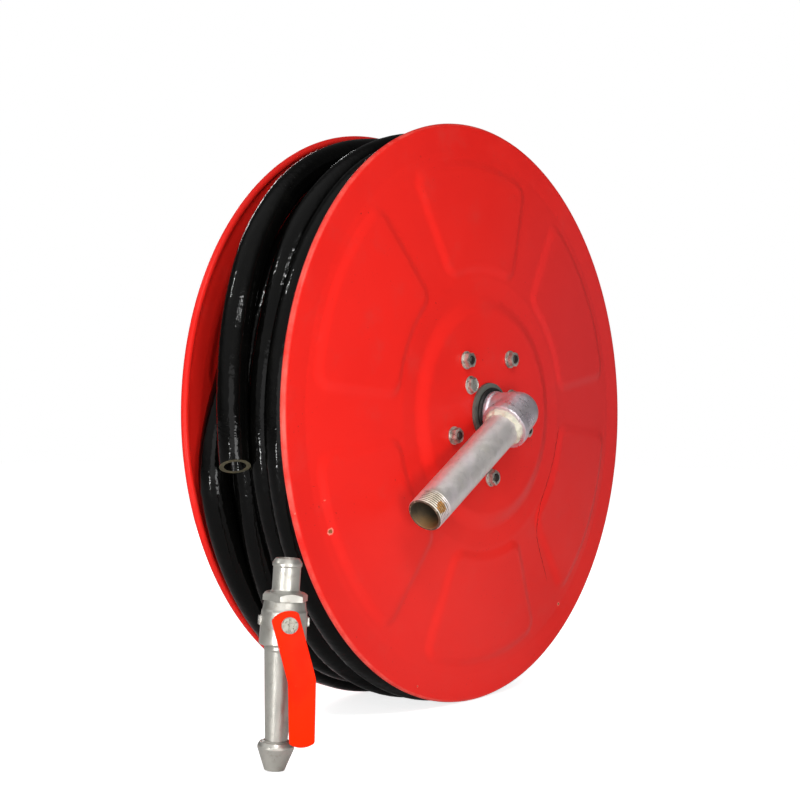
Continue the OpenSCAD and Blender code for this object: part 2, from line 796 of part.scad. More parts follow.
// Barb that carries the inner end of the hose: thread, collar and shank
module outlet_barb() color("goldenrod") reel_frame() along_lead() difference() {
    union() {
        translate([0, 0, outlet_leg - outlet_socket])
            cylinder(d = outlet_d, h = outlet_socket);
        translate([0, 0, outlet_leg]) cylinder(d = outlet_bend_d, h = lead_start - outlet_leg);
        translate([0, 0, outlet_leg]) cylinder(d = hose_bore, h = outlet_barb_len);
    }
    translate([0, 0, outlet_leg - outlet_socket - cut])
        cylinder(d = hose_bore - 2 * outlet_wall, h = outlet_leg + outlet_barb_len);
}

// Band clamp on the hose over the barb, with its screw housing
module hose_clamp() color("silver") reel_frame() along_lead()
    translate([0, 0, lead_start + outlet_barb_len / 2 - clamp_w]) {
        tube(hose_od + 2 * clamp_t, hose_od, clamp_w);
        translate([0, hose_r, clamp_w / 2])
            rotate([0, 90, 0])
                translate([0, (clamp_screw_d + clamp_t) / 2, -clamp_screw_d / 2])
                    cylinder(d = clamp_screw_d, h = clamp_screw_d);
    }

module hose_lead() color("black") reel_frame() along_lead()
    translate([0, 0, lead_start]) tube(hose_od, hose_bore, lead_len);

// Pocket in the inner layers, from one wound angle to another, for a turn that lies deeper
module core_pocket(from, to, depth, turn_place, height) {
    rotate([0, 0, wind_start + from])
        rotate_extrude(angle = to - from)
            translate([bed_r(depth), turn_place - turn_step / 2])
                square([turn_r - bed_r(depth), height]);
}

// Inner layers of the hose: full to the outer layer at the front, a layer lower at the rear
// where the last turn dives, with pockets for the start and for the turn that beds in
module hose_core() color("black") reel_frame() difference() {
    face_gap = sheet_t + pack_gap;
    high_r = bed_r(0);
    low_r = bed_r(dive);
    rotate_extrude()
        polygon([
            [core_d / 2, channel_rise - face_gap],
            [channel_r - pack_gap, channel_rise - face_gap],
            [high_r, cone_rise(high_r) - face_gap],
            [high_r, mid_z],
            [low_r, mid_z],
            [low_r, -rim_gap - cone_rise(low_r) + face_gap],
            [channel_r - pack_gap, -rim_gap - channel_rise + face_gap],
            [core_d / 2, -rim_gap - channel_rise + face_gap]
        ]);
    along_lead() cylinder(d = lead_hole_d, h = lead_end);
    core_pocket(0, rise_angle + pocket_angle, dive, first_turn_z, turn_step + channel_rise);
    core_pocket(second_in_angles[0], second_out_angles[1] + pocket_angle,
        second_bed, second_turn_z, turn_step);
}

module hose_winding() color("black") reel_frame()
    polyhedron(wind_points, tube_faces(len(wind_centres), wind_sides), convexity = 10);

// Free end of the hose, cut square, with its bore open at the cut
module hose_tail() color("black") reel_frame() difference() {
    polyhedron(
        [for (i = [0 : tail_last]) each tail_ring(i)],
        tube_faces(tail_last + 1, tail_sides), convexity = 4);
    translate(tail_end + cut * tail_end_way)
        rotate([0, 0, atan2(tail_end_way[1], tail_end_way[0])])
            rotate([0, -90, 0])
                cylinder(d = hose_bore, h = hose_od);
}

module nozzle_tip() color("silver") nozzle_frame() difference() {
    rotate_extrude()
        polygon([
            [0, 0],
            [tip_mouth_d / 2, 0],
            [tip_d / 2, tip_len - 5],
            [tip_d / 2, tip_len - 3],
            [tip_d / 2 - 1.5, tip_len],
            [barrel_low_d / 2 + 2.5, tip_len],
            [barrel_low_d / 2 + 1.5, tip_len + 1],
            [0, tip_len + 1]
        ]);
    translate([0, 0, tip_len - joint_depth])
        cylinder(d = barrel_low_d, h = joint_depth + 1 + cut);
    translate([0, 0, -cut]) cylinder(d = jet_d, h = tip_len);
    translate([0, 0, tip_len / 3])
        cylinder(d1 = jet_d, d2 = barrel_bore_d, h = tip_len - joint_depth - tip_len / 3);
}

module nozzle_barrel() color("silver") nozzle_frame()
    rotate_extrude()
        polygon([
            [barrel_bore_d / 2, barrel_z - joint_depth],
            [barrel_low_d / 2, barrel_z - joint_depth],
            [barrel_low_d / 2, barrel_z + 1],
            [barrel_top_d / 2, valve_z - cut],
            [barrel_top_d / 2, valve_z],
            [barrel_thread_d / 2, valve_z],
            [barrel_thread_d / 2, valve_z + joint_depth],
            [barrel_bore_d / 2, valve_z + joint_depth]
        ]);

// Valve body: wide at its foot, a neck over a small step, a boss for the stem and two stop lugs
module valve_body() color("silver") nozzle_frame() difference() {
    step_z = hex_z - 7;
    step_d = valve_neck_d + 2;
    union() {
        rotate_extrude()
            polygon([
                [0, valve_z],
                [valve_d / 2 - 1, valve_z],
                [valve_d / 2, valve_z + 1],
                [valve_d / 2, valve_z + 5],
                [step_d / 2 + 0.7, step_z - 1],
                [step_d / 2, step_z],
                [valve_neck_d / 2, hex_z],
                [0, hex_z]
            ]);
        translate([0, 0, ball_z])
            rotate([0, 90, 0]) cylinder(d = stem_boss_d, h = gland_x);
        for (side = [-1, 1])
            translate([0, side * valve_d / 2, ball_z])
                cube([6, 3, 7], center = true);
    }
    translate([0, 0, seat_low_z]) cylinder(d = cavity_d, h = valve_len);
    translate([0, 0, valve_z - cut]) cylinder(d = barrel_thread_d, h = joint_depth + cut);
    translate([0, 0, valve_z]) cylinder(d = barrel_bore_d, h = valve_len);
    translate([0, 0, ball_z]) rotate([0, 90, 0]) cylinder(d = stem_hole_d, h = valve_d);
}

module ball_seat() {
    difference() {
        tube(cavity_d, ball_bore_d, seat_t);
        translate([0, 0, ball_d / 2 + 1.5]) sphere(r = ball_d / 2 + ball_play);
    }
}

module lower_seat() color("white") nozzle_frame()
    translate([0, 0, seat_low_z]) ball_seat();

module upper_seat() color("white") nozzle_frame()
    translate([0, 0, seat_top_z]) mirror([0, 0, 1]) ball_seat();

// Barb that screws into the valve body: thread, hexagon, shank and end bead
module nozzle_barb() color("silver") nozzle_frame() difference() {
    union() {
        rotate_extrude()
            polygon([
                [0, seat_top_z],
                [cavity_d / 2, seat_top_z],
                [cavity_d / 2, hex_z + cut],
                [barb_d / 2, hex_z + cut],
                [barb_d / 2, barb_z + barb_len],
                [barb_bead_d / 2, barb_z + barb_len],
                [barb_bead_d / 2, barb_top_z - barb_cone_len],
                [barb_bore_d / 2 + 1.5, barb_top_z],
                [0, barb_top_z]
            ]);
        translate([0, 0, hex_z])
            rotate([0, 0, barb_hex_turn]) hexagon(barb_hex_af, barb_hex_t);
    }
    translate([0, 0, seat_top_z - cut])
        cylinder(d = barb_bore_d, h = barb_top_z - seat_top_z + 2 * cut);
}

module stem_gland() color("gray") nozzle_frame()
    translate([gland_x, 0, ball_z])
        rotate([0, 90, 0]) tube(stem_boss_d - 2, stem_hole_d, gland_t);

// Ball in its open position, with a slot for the tongue of the stem
module valve_ball() color("gainsboro") nozzle_frame() translate([0, 0, ball_z]) difference() {
    sphere(d = ball_d);
    cylinder(d = ball_bore_d, h = ball_d + cut, center = true);
    translate([ball_d / 2, 0, 0]) cube([4, 3, ball_d], center = true);
}

module valve_stem() color("gainsboro") nozzle_frame() translate([0, 0, ball_z]) difference() {
    union() {
        translate([ball_d / 2 + 0.2, 0, 0])
            rotate([0, 90, 0]) cylinder(d = stem_d, h = lever_face_x - ball_d / 2 - 0.2);
        translate([ball_d / 2 - 2, -1.5, -stem_d / 2 + 1]) cube([3, 3, stem_d - 2]);
    }
    translate([lever_face_x - 8, 0, 0]) rotate([0, 90, 0]) cylinder(d = screw_d, h = 8 + cut);
}

// One arm of the lever from its bend, which is a circle, up to a flat arc
module lever_arm(length, end_w) {
    circle(d = lever_w);
    intersection() {
        polygon([
            [-lever_w / 2, 0], [lever_w / 2, 0], [end_w / 2, length], [-end_w / 2, length]
        ]);
        union() {
            translate([-lever_w, 0]) square([2 * lever_w, length - lever_end_r]);
            translate([0, length - lever_end_r]) circle(r = lever_end_r);
        }
    }
}

// Flat strap, cranked below its pivot, with a flat arc at each end
module lever() color("orangered") nozzle_frame()
    translate([lever_x, 0, ball_z])
        rotate([90, 0, 90])
            difference() {
                linear_extrude(lever_t)
                    rotate([0, 0, lever_upper_angle])
                        translate([-lever_shift, -lever_upper]) {
                            lever_arm(lever_upper + lever_head, lever_w);
                            rotate([0, 0, 180 + lever_lower_angle - lever_upper_angle])
                                lever_arm(lever_lower, lever_end_w);
                        }
                translate([0, 0, -cut]) cylinder(d = stem_d, h = lever_t + 2 * cut);
            }

module lever_screw() color("gainsboro") nozzle_frame() translate([lever_face_x, 0, ball_z])
    difference() {
        rotate([0, 90, 0]) {
            cylinder(d = screw_head_d, h = screw_head_t);
            translate([0, 0, -7]) cylinder(d = screw_d, h = 8);
        }
        translate([screw_head_t, 0, 0]) cube([2, screw_slot_w, screw_head_d + cut], center = true);
    }

inlet_pipe();
inlet_elbow();
pipe_compound();
spindle();
front_thrust_washer();
rear_thrust_washer();
spindle_nut();
front_disc();
rear_disc();
drum_core();
hub_body();
front_bush();
rear_bush();
front_seal();
rear_seal();
front_hub_bolts();
rear_hub_bolts();
spacer_tubes();
tie_rods();
front_tie_washers();
front_tie_nuts();
rear_tie_washers();
rear_tie_nuts();
outlet_nipple();
outlet_elbow();
outlet_barb();
hose_clamp();
hose_lead();
hose_core();
hose_winding();
hose_tail();
nozzle_tip();
nozzle_barrel();
valve_body();
lower_seat();
upper_seat();
nozzle_barb();
stem_gland();
valve_ball();
valve_stem();
lever();
lever_screw();
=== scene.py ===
"""Looks of the fire hose reel: camera, finishes, hose, discs, fittings, nozzle and light."""

import json
import math
import random

import bpy
import numpy as np
from mathutils import Matrix, Vector

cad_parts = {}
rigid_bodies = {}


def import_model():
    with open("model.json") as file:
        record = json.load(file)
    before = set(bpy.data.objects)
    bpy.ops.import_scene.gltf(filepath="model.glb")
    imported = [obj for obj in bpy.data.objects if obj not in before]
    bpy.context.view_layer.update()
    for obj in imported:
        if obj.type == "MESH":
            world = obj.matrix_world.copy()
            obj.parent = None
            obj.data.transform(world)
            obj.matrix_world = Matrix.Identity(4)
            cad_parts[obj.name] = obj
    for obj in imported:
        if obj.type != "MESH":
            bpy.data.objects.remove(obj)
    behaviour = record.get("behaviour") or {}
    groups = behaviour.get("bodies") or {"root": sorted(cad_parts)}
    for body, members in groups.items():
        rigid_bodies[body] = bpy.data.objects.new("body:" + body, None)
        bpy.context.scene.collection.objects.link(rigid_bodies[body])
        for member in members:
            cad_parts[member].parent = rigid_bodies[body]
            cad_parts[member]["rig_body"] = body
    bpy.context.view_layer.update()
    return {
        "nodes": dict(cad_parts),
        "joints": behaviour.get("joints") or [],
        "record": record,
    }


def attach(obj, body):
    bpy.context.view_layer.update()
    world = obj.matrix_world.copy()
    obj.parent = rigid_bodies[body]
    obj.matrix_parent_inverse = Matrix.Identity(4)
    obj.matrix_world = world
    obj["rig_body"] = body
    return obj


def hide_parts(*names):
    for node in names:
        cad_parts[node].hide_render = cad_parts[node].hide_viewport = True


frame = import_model()
nodes = frame["nodes"]
joints = {joint["name"]: joint for joint in frame["joints"]}
SLOT_OF = {part["node"]: part["material_slot"] for part in frame["record"]["subparts"]}

MM = 0.001
DISC_R = 275.0
AXIS = Vector(joints["drum_spin"]["pos_m"])     # front rim plane, on the spindle axis
FLOOR_Z = AXIS.z - DISC_R * MM

# ---------------- camera

CAMERA_PLACE = AXIS + Vector((-1288.35, -899.17, -0.04)) * MM
CAMERA_AZIMUTH = math.radians(-52.57)
CAMERA_ELEVATION = math.radians(-0.44)
FOCAL_PIXELS = 1635.5
PHOTO_SIDE = 800


def placed(name, data):
    """A new object for the data, in the scene."""
    made = bpy.data.objects.new(name, data)
    bpy.context.scene.collection.objects.link(made)
    return made


def feed(socket, source):
    """Links an output to a socket, or sets a plain value on it."""
    if isinstance(source, bpy.types.NodeSocket):
        socket.id_data.links.new(source, socket)
    else:
        socket.default_value = source


def add_node(tree, kind, **sources):
    """A shader node of a kind, such as TexNoise, with inputs fed by name, such as Scale."""
    node = tree.nodes.new("ShaderNode" + kind)
    for name, source in sources.items():
        feed(node.inputs[name.replace("_", " ")], source)
    return node


def make_camera():
    data = bpy.data.cameras.new("camera")
    data.sensor_width = 36.0
    data.lens = FOCAL_PIXELS / PHOTO_SIDE * data.sensor_width
    data.clip_start = 0.05
    camera = placed("camera", data)
    back = Vector((
        math.sin(CAMERA_AZIMUTH) * math.cos(CAMERA_ELEVATION),
        -math.cos(CAMERA_AZIMUTH) * math.cos(CAMERA_ELEVATION),
        math.sin(CAMERA_ELEVATION),
    ))
    camera.location = CAMERA_PLACE
    camera.rotation_euler = (-back).to_track_quat("-Z", "Y").to_euler()
    bpy.context.scene.camera = camera


make_camera()

# ---------------- frames and mesh helpers


def turn(degrees, axis):
    return Matrix.Rotation(math.radians(degrees), 4, axis)


def shift(x, y, z):
    return Matrix.Translation((x, y, z))


# Reel axes in millimetres: x right, y up, z along the spindle towards the inlet
REEL = Matrix.Translation(AXIS) @ Matrix.Scale(MM, 4) @ turn(90, "X")
RIM_GAP = 115.0
REAR = REEL @ shift(0, 0, -RIM_GAP) @ Matrix.Scale(-1, 4, (0, 0, 1))
ELBOW_Z = 52.0
PIPE_DROP = 31.4
PIPE_REACH = 172.0
ELBOW = REEL @ shift(0, 0, ELBOW_Z)
PIPE = ELBOW @ turn(180 + PIPE_DROP, "Z") @ turn(90, "Y")
NOZZLE_FOOT = (-346.0, -275.0, 56.0)
NOZZLE_TURN = -130.0
NOZZLE_LEAN = -3.7
NOZZLE = (REEL @ shift(*NOZZLE_FOOT) @ turn(-90, "X") @ turn(NOZZLE_TURN, "Z")
          @ turn(NOZZLE_LEAN, "X"))


def at_reel(x, y, z):
    """A point of the reel's axes, in the part's frame, in metres."""
    return REEL @ Vector((x, y, z))


def new_piece(name, mesh, body, to_frame, finish, sharp):
    """A mesh piece in the part's frame that rides on a body, with its finish by name."""
    points, faces = mesh
    matrix = np.array(to_frame)
    points = np.asarray(points, float) @ matrix[:3, :3].T + matrix[:3, 3]
    if to_frame.to_3x3().determinant() < 0:
        faces = [tuple(reversed(face)) for face in faces]
    data = bpy.data.meshes.new(name)
    data.from_pydata(points.tolist(), [], faces)
    data.shade_smooth()
    if sharp < 180:
        data.set_sharp_from_angle(angle=math.radians(sharp))
    data.materials.append(MATERIALS[finish])
    piece = placed(name, data)
    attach(piece, body)
    return piece


def stand_in(name, mesh, node, to_frame, finish=None, sharp=40.0):
    """A finer piece for a CAD node, on its body and with its slot."""
    slot = SLOT_OF[node]
    piece = new_piece(name, mesh, nodes[node]["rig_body"], to_frame, finish or slot, sharp)
    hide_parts(node)
    return piece


def circle(count):
    """Angles of as many even steps round a circle."""
    return [2 * math.pi * k / count for k in range(count)]


def grid_faces(rows, count, closed=False):
    """Faces between rows of points that each go round; closed joins the last row to the first."""
    faces = []
    for i in range(rows if closed else rows - 1):
        low, high = i * count, (i + 1) % rows * count
        for k in range(count):
            m = (k + 1) % count
            faces.append((low + k, low + m, high + m, high + k))
    return faces


def capped(points, count):
    """A mesh of rows of points that each go round, with a face over either end."""
    faces = grid_faces(len(points) // count, count)
    faces.append(tuple(reversed(range(count))))
    faces.append(tuple(range(len(points) - count, len(points))))
    return points, faces


def rows_mesh(rows):
    """A closed mesh of rows of (radius, height) pairs, each row once round z."""
    points = [(r * math.cos(a), r * math.sin(a), z)
              for row in rows for a, (r, z) in zip(circle(len(row)), row)]
    return points, grid_faces(len(rows), len(rows[0]), closed=True)


NEARLY_STRAIGHT = 1.53      # half the angle at a corner, in radians, that needs no rounding


def rounded(corners, radii, closed=True, steps=5):
    """An outline with its corners rounded; radii is one radius or one for each corner."""
    corners = [np.array(corner, float) for corner in corners]
    if isinstance(radii, (int, float)):
        radii = [radii] * len(corners)
    outline = []
    for i, (corner, radius) in enumerate(zip(corners, radii)):
        back = corners[i - 1] - corner
        ahead = corners[(i + 1) % len(corners)] - corner
        before, after = np.linalg.norm(back), np.linalg.norm(ahead)
        at_end = not closed and i in (0, len(corners) - 1)
        if radius <= 0 or at_end or before < 1e-9 or after < 1e-9:
            outline.append(tuple(corner))
            continue
        back, ahead = back / before, ahead / after
        half = math.acos(max(-1.0, min(1.0, back.dot(ahead)))) / 2
        if half > NEARLY_STRAIGHT:
            outline.append(tuple(corner))
            continue
        reach = min(radius / math.tan(half), 0.48 * before, 0.48 * after)
        bend = reach * math.tan(half)
        middle = corner + (back + ahead) / np.linalg.norm(back + ahead) * bend / math.sin(half)
        for k in range(steps + 1):
            t = k / steps
            spoke = corner + reach * (back * (1 - t) + ahead * t) - middle
            outline.append(tuple(middle + spoke / np.linalg.norm(spoke) * bend))
    return outline


def lathe_mesh(profile, segments=96, closed=False):
    """Points and faces of a profile of (radius, height) pairs turned round z.

    The profile runs up its outside and down its inside."""
    points, rings = [], []
    for radius, height in profile:
        if radius < 1e-6:
            rings.append([len(points)] * segments)
            points.append((0.0, 0.0, height))
            continue
        rings.append(list(range(len(points), len(points) + segments)))
        points += [(radius * math.cos(a), radius * math.sin(a), height) for a in circle(segments)]
    if closed:
        rings.append(rings[0])
    faces = []
    for low, high in zip(rings, rings[1:]):
        for k in range(segments):
            m = (k + 1) % segments
            corners = [low[k], low[m], high[m], high[k]]
            face = [c for i, c in enumerate(corners) if c != corners[i - 1]]
            if len(face) > 2:
                faces.append(tuple(face))
    return points, faces


def hexagon_mesh(across, low, high, bore, chamfer=1.0, segments=72):
    """A hexagon with its top corners turned off, and a bore with a small countersink."""
    flat = across / 2
    top = 0.94 * flat
    columns = []
    for a in circle(segments):
        reach = flat / math.cos(a % (math.pi / 3) - math.pi / 6)
        drop = chamfer * max(0.0, reach - top) * 0.5
        columns.append([(reach, low), (reach, high - drop), (top, high),
                        (bore + 0.5, high), (bore, high - 0.5), (bore, low)])
    return rows_mesh(list(zip(*columns)))


def joined(meshes):
    """One mesh of several (points, faces) pairs."""
    points, faces = [], []
    for more, more_faces in meshes:
        start = len(points)
        points += [tuple(p) for p in more]
        faces += [tuple(start + i for i in face) for face in more_faces]
    return points, faces


def moved(mesh, matrix):
    points, faces = mesh
    return [tuple(matrix @ Vector(p)) for p in points], faces


def melted(node, name, finish, voxel, rounds):
    """A copy of a cast solid with its edges melted round and its skin a little uneven."""
    source = nodes[node]
    draft = placed(name + "_draft", source.data.copy())
    draft.matrix_world = source.matrix_world
    grid = draft.modifiers.new("grid", "REMESH")
    grid.mode = "VOXEL"
    grid.voxel_size = voxel
    melt = draft.modifiers.new("melt", "SMOOTH")
    melt.factor, melt.iterations = 0.5, rounds
    bpy.context.view_layer.update()
    depsgraph = bpy.context.evaluated_depsgraph_get()
    data = bpy.data.meshes.new_from_object(draft.evaluated_get(depsgraph))
    bpy.data.objects.remove(draft)
    data.transform(source.matrix_world)
    data.name = name
    data.shade_smooth()
    data.materials.clear()
    data.materials.append(MATERIALS[finish])
    piece = placed(name, data)
    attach(piece, source["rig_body"])
    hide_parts(node)


def tube_mesh(centres, headings, sides, radius):
    """A tube of rings with flat ends; headings holds (side, up) vectors across it."""
    points = [centre + radius * (math.cos(a) * side + math.sin(a) * up)
              for centre, (side, up) in zip(centres, headings) for a in circle(sides)]
    return capped(points, sides)


# ---------------- sizes that several pieces share

SHEET = 1.5
BEAD_R = 3.5
BAND_R = DISC_R - BEAD_R - 22.0
CHANNEL_R = 128.0
CHANNEL_RISE = 15.0
BOSS_RISE = 20.0
PIPE_R = 16.85
PIPE_BORE_R = 13.65
THREAD_R = 16.6
THREAD_LEN = 19.0

# Chips in the paint of the front disc: place on the disc in millimetres, radius in metres
PAINT_CHIPS = [(-217.3, -101.5, 0.0022), (-225.2, -74.0, 0.0010), (-262.0, -84.0, 0.0012),
               (150.0, -197.0, 0.0014), (-91.8, -250.0, 0.0009)]


def cone_height(r):
    """Height of the disc's face between the channel and the flat band at the rim."""
    return CHANNEL_RISE + (BEAD_R - CHANNEL_RISE) * (r - CHANNEL_R) / (BAND_R - CHANNEL_R)


def chip_height(x, y):
    return max(BEAD_R, cone_height(math.hypot(x, y)))


def at_pipe(along, radius, angle):
    """A point on the inlet pipe: angle 0 looks down from it, 90 towards the inlet side."""
    a, drop = math.radians(angle), math.radians(PIPE_DROP)
    down = Vector((math.sin(drop), -math.cos(drop), 0.0))
    out = Vector((0.0, 0.0, 1.0))
    way = Vector((-math.cos(drop), -math.sin(drop), 0.0))
    return REEL @ (Vector((0.0, 0.0, ELBOW_Z)) + way * along
                   + radius * (math.cos(a) * down + math.sin(a) * out))


# ---------------- materials


MATERIALS = {}


class Look:
    """A procedural material that is built up from a Principled shader and kept by its name."""

    def __init__(self, name, color, roughness, metallic=0.0, **sockets):
        self.material = bpy.data.materials.new(name)
        self.material.use_nodes = True
        self.tree = self.material.node_tree
        self.shader = self.tree.nodes["Principled BSDF"]
        self.place = self.new("TexCoord").outputs["Object"]
        self.set("Base Color", (*color, 1.0))
        self.set("Roughness", roughness)
        self.set("Metallic", metallic)
        for socket, value in sockets.items():
            self.set(socket.replace("_", " "), value)
        MATERIALS[name] = self.material

    def set(self, socket, source):
        feed(self.shader.inputs[socket], source)

    def new(self, kind, **sources):
        return add_node(self.tree, kind, **sources)

    def noise(self, scale, detail, roughness=0.55, stretch=None, distortion=0.0):
        place = self.place
        if stretch:
            place = self.new("Mapping", Vector=place, Scale=stretch).outputs["Vector"]
        node = self.new("TexNoise", Vector=place, Scale=scale, Detail=detail,
                        Roughness=roughness, Distortion=distortion)
        return node.outputs["Fac"]

    def cells(self, scale):
        """A grey level of its own for each cell of a crystal pattern."""
        crystals = self.new("TexVoronoi", Vector=self.place, Scale=scale)
        return self.new("SeparateColor", Color=crystals.outputs["Color"]).outputs["Red"]

    def remap(self, value, low, high, to_low=0.0, to_high=1.0):
        node = self.new("MapRange", Value=value, From_Min=low, From_Max=high, To_Min=to_low,
                        To_Max=to_high)
        node.interpolation_type = "SMOOTHSTEP"
        return node.outputs["Result"]

    def operate(self, kind, operation, a, b):
        """A Math or VectorMath node on two sources."""
        node = self.new(kind)
        node.operation = operation
        feed(node.inputs[0], a)
        feed(node.inputs[1], b)
        return node

    def math(self, operation, a, b, clamp=True):
        node = self.operate("Math", operation, a, b)
        node.use_clamp = clamp
        return node.outputs[0]

    def distance(self, start, place):
        return self.operate("VectorMath", "DISTANCE", start, place).outputs["Value"]

    def near(self, place, radius, blur, ragged=0.0, scale=300.0):
        """1 round a place in the part's frame, with a ragged edge; sizes in metres."""
        distance = self.distance(self.place, place)
        if ragged:
            edge = self.math("MULTIPLY", self.noise(scale, 4.0, 0.65), ragged, clamp=False)
            distance = self.math("ADD", distance, edge, clamp=False)
            radius += 0.5 * ragged
        return self.remap(distance, radius - blur, radius, 1.0, 0.0)

    def beyond(self, radius, blur):
        """1 farther from the spindle's axis than a radius; sizes in metres."""
        flat = self.operate("VectorMath", "MULTIPLY", self.place, (1.0, 0.0, 1.0))
        distance = self.distance(flat.outputs["Vector"], (AXIS.x, 0.0, AXIS.z))
        return self.remap(distance, radius - blur, radius)

    def blend(self, socket, kind, mask, start, value):
        """Mixes a value over what feeds the shader's socket, or over a start, by a mask."""
        node = self.new("Mix")
        node.data_type = kind
        target = self.shader.inputs[socket]
        feed(node.inputs["A"], target.links[0].from_socket if target.links else start)
        feed(node.inputs["B"], value)
        feed(node.inputs["Factor"], mask)
        feed(target, node.outputs["Result"])

    def tint(self, mask, color, strength=1.0):
        """Mixes a colour over the base colour where the mask is high."""
        if strength != 1.0:
            mask = self.math("MULTIPLY", mask, strength)
        start = self.shader.inputs["Base Color"].default_value
        self.blend("Base Color", "RGBA", mask, start, (*color, 1.0))

    def stain(self, scale, detail, low, high, color, strength, **grain):
        """Tints the patches where a noise is high."""
        self.tint(self.remap(self.noise(scale, detail, **grain), low, high), color, strength)

    def roughen(self, mask, low, high):
        """Roughness from low to high as the mask goes from 0 to 1, or mixed over the last one."""
        self.blend("Roughness", "FLOAT", mask, low, high)

    def dull(self, scale, detail, low, high):
        """Roughness from low to high in soft patches."""
        self.roughen(self.remap(self.noise(scale, detail), 0.3, 0.8), low, high)

    def metal(self, mask):
        """Takes the metal look away where the mask is high."""
        level = self.shader.inputs["Metallic"].default_value
        self.set("Metallic", self.math("MULTIPLY", self.math("SUBTRACT", 1.0, mask), level))

    def bump(self, height, distance, strength):
        """Adds a bump to those there are."""
        node = self.new("Bump", Height=height, Distance=distance, Strength=strength)
        normal = self.shader.inputs["Normal"]
        if normal.links:
            feed(node.inputs["Normal"], normal.links[0].from_socket)
        feed(normal, node.outputs["Normal"])

    def lumps(self, scale, detail, distance, strength, **grain):
        """Adds an even bump of noise."""
        self.bump(self.noise(scale, detail, **grain), distance, strength)


def red_paint():
    """Gloss paint on pressed sheet: faint orange peel, dust, dull patches and a few chips, with
    painted shade, light and reflection haze across the face and a painted highlight along the front
    rim.
    """
    look = Look("red_paint", (0.82, 0.0175, 0.0115), 0.40, Specular_IOR_Level=0.14)
    look.stain(7.0, 4.0, 0.35, 0.75, (0.72, 0.012, 0.009), 0.5)
    look.stain(24.0, 5.0, 0.52, 0.80, (0.72, 0.044, 0.036), 0.45, roughness=0.65)
    specks = look.math("MULTIPLY", look.remap(look.noise(420.0, 2.0), 0.70, 0.74),
                       look.remap(look.noise(16.0, 2.0), 0.50, 0.62))
    look.tint(specks, (0.24, 0.015, 0.010), 0.7)
    # Painted shade and painted reflection haze: a large soft patch that makes the right side of the
    # face darker and pinker.
    look.tint(look.near(at_reel(200.0, 60.0, 5.0), 0.27, 0.25), (0.74, 0.034, 0.036), 0.75)
    # Painted light: a large soft patch that makes the lower left of the face brighter.
    look.tint(look.near(at_reel(-60.0, -190.0, 5.0), 0.22, 0.20), (0.86, 0.034, 0.026), 0.6)
    # Painted highlight: a paler pink line, broken by noise, along the crest of the front disc's
    # rolled rim.
    rim = look.math("MULTIPLY", look.beyond((DISC_R - 1.2) * MM, 1.6 * MM),
                    look.remap(look.noise(32.0, 6.0, 0.7), 0.25, 0.75))
    rim = look.math("MULTIPLY", rim, look.near(at_reel(0.0, 0.0, 0.0), 0.290, 0.010))
    look.tint(rim, (0.95, 0.15, 0.115), 0.8)
    look.dull(11.0, 4.0, 0.28, 0.46)
    for x, y, size in PAINT_CHIPS:
        place = at_reel(x, y, chip_height(x, y))
        look.tint(look.near(place, size * 1.5, 0.0006, 0.005, 420.0), (0.95, 0.30, 0.22), 0.8)
        chip = look.near(place, size, 0.0004, 0.004, 420.0)
        look.tint(chip, (0.26, 0.095, 0.030))
        look.roughen(chip, 0.3, 0.8)
    look.lumps(330.0, 2.0, 0.00006, 0.5)
    look.lumps(26.0, 2.0, 0.0005, 0.30)


def panel_foot_shade_and_grime():
    """Painted shade, with some grime, for a thin dark line along the foot of a panel."""
    look = Look("panel_foot_shade_and_grime", (0.30, 0.010, 0.006), 0.6, Specular_IOR_Level=0.1)
    look.stain(90.0, 3.0, 0.42, 0.62, (0.10, 0.012, 0.009), 0.9)


def hose_rubber():
    """Smooth black rubber: nearly no colour of its own, with a wet-looking uneven gloss."""
    look = Look("hose_rubber", (0.0016, 0.0016, 0.0015), 0.10, Specular_IOR_Level=0.11)
    look.stain(38.0, 4.0, 0.50, 0.85, (0.0050, 0.0048, 0.0040), 0.6, roughness=0.6)
    look.stain(900.0, 2.0, 0.72, 0.76, (0.05, 0.047, 0.042), 0.25)
    look.roughen(look.remap(look.noise(60.0, 3.0), 0.35, 0.8), 0.08, 0.15)
    look.lumps(150.0, 2.0, 0.0009, 0.5, roughness=0.5)
    look.lumps(34.0, 2.0, 0.0010, 0.5)


def cut_rubber():
    """Cut wall of the hose: dull, with the paler yarn layer in the middle of the wall."""
    look = Look("cut_rubber", (0.075, 0.065, 0.034), 0.72)
    look.stain(700.0, 3.0, 0.4, 0.7, (0.035, 0.031, 0.018), 0.7)
    look.stain(160.0, 2.0, 0.5, 0.7, (0.15, 0.13, 0.07), 0.6)
    look.lumps(900.0, 3.0, 0.0002, 0.6)


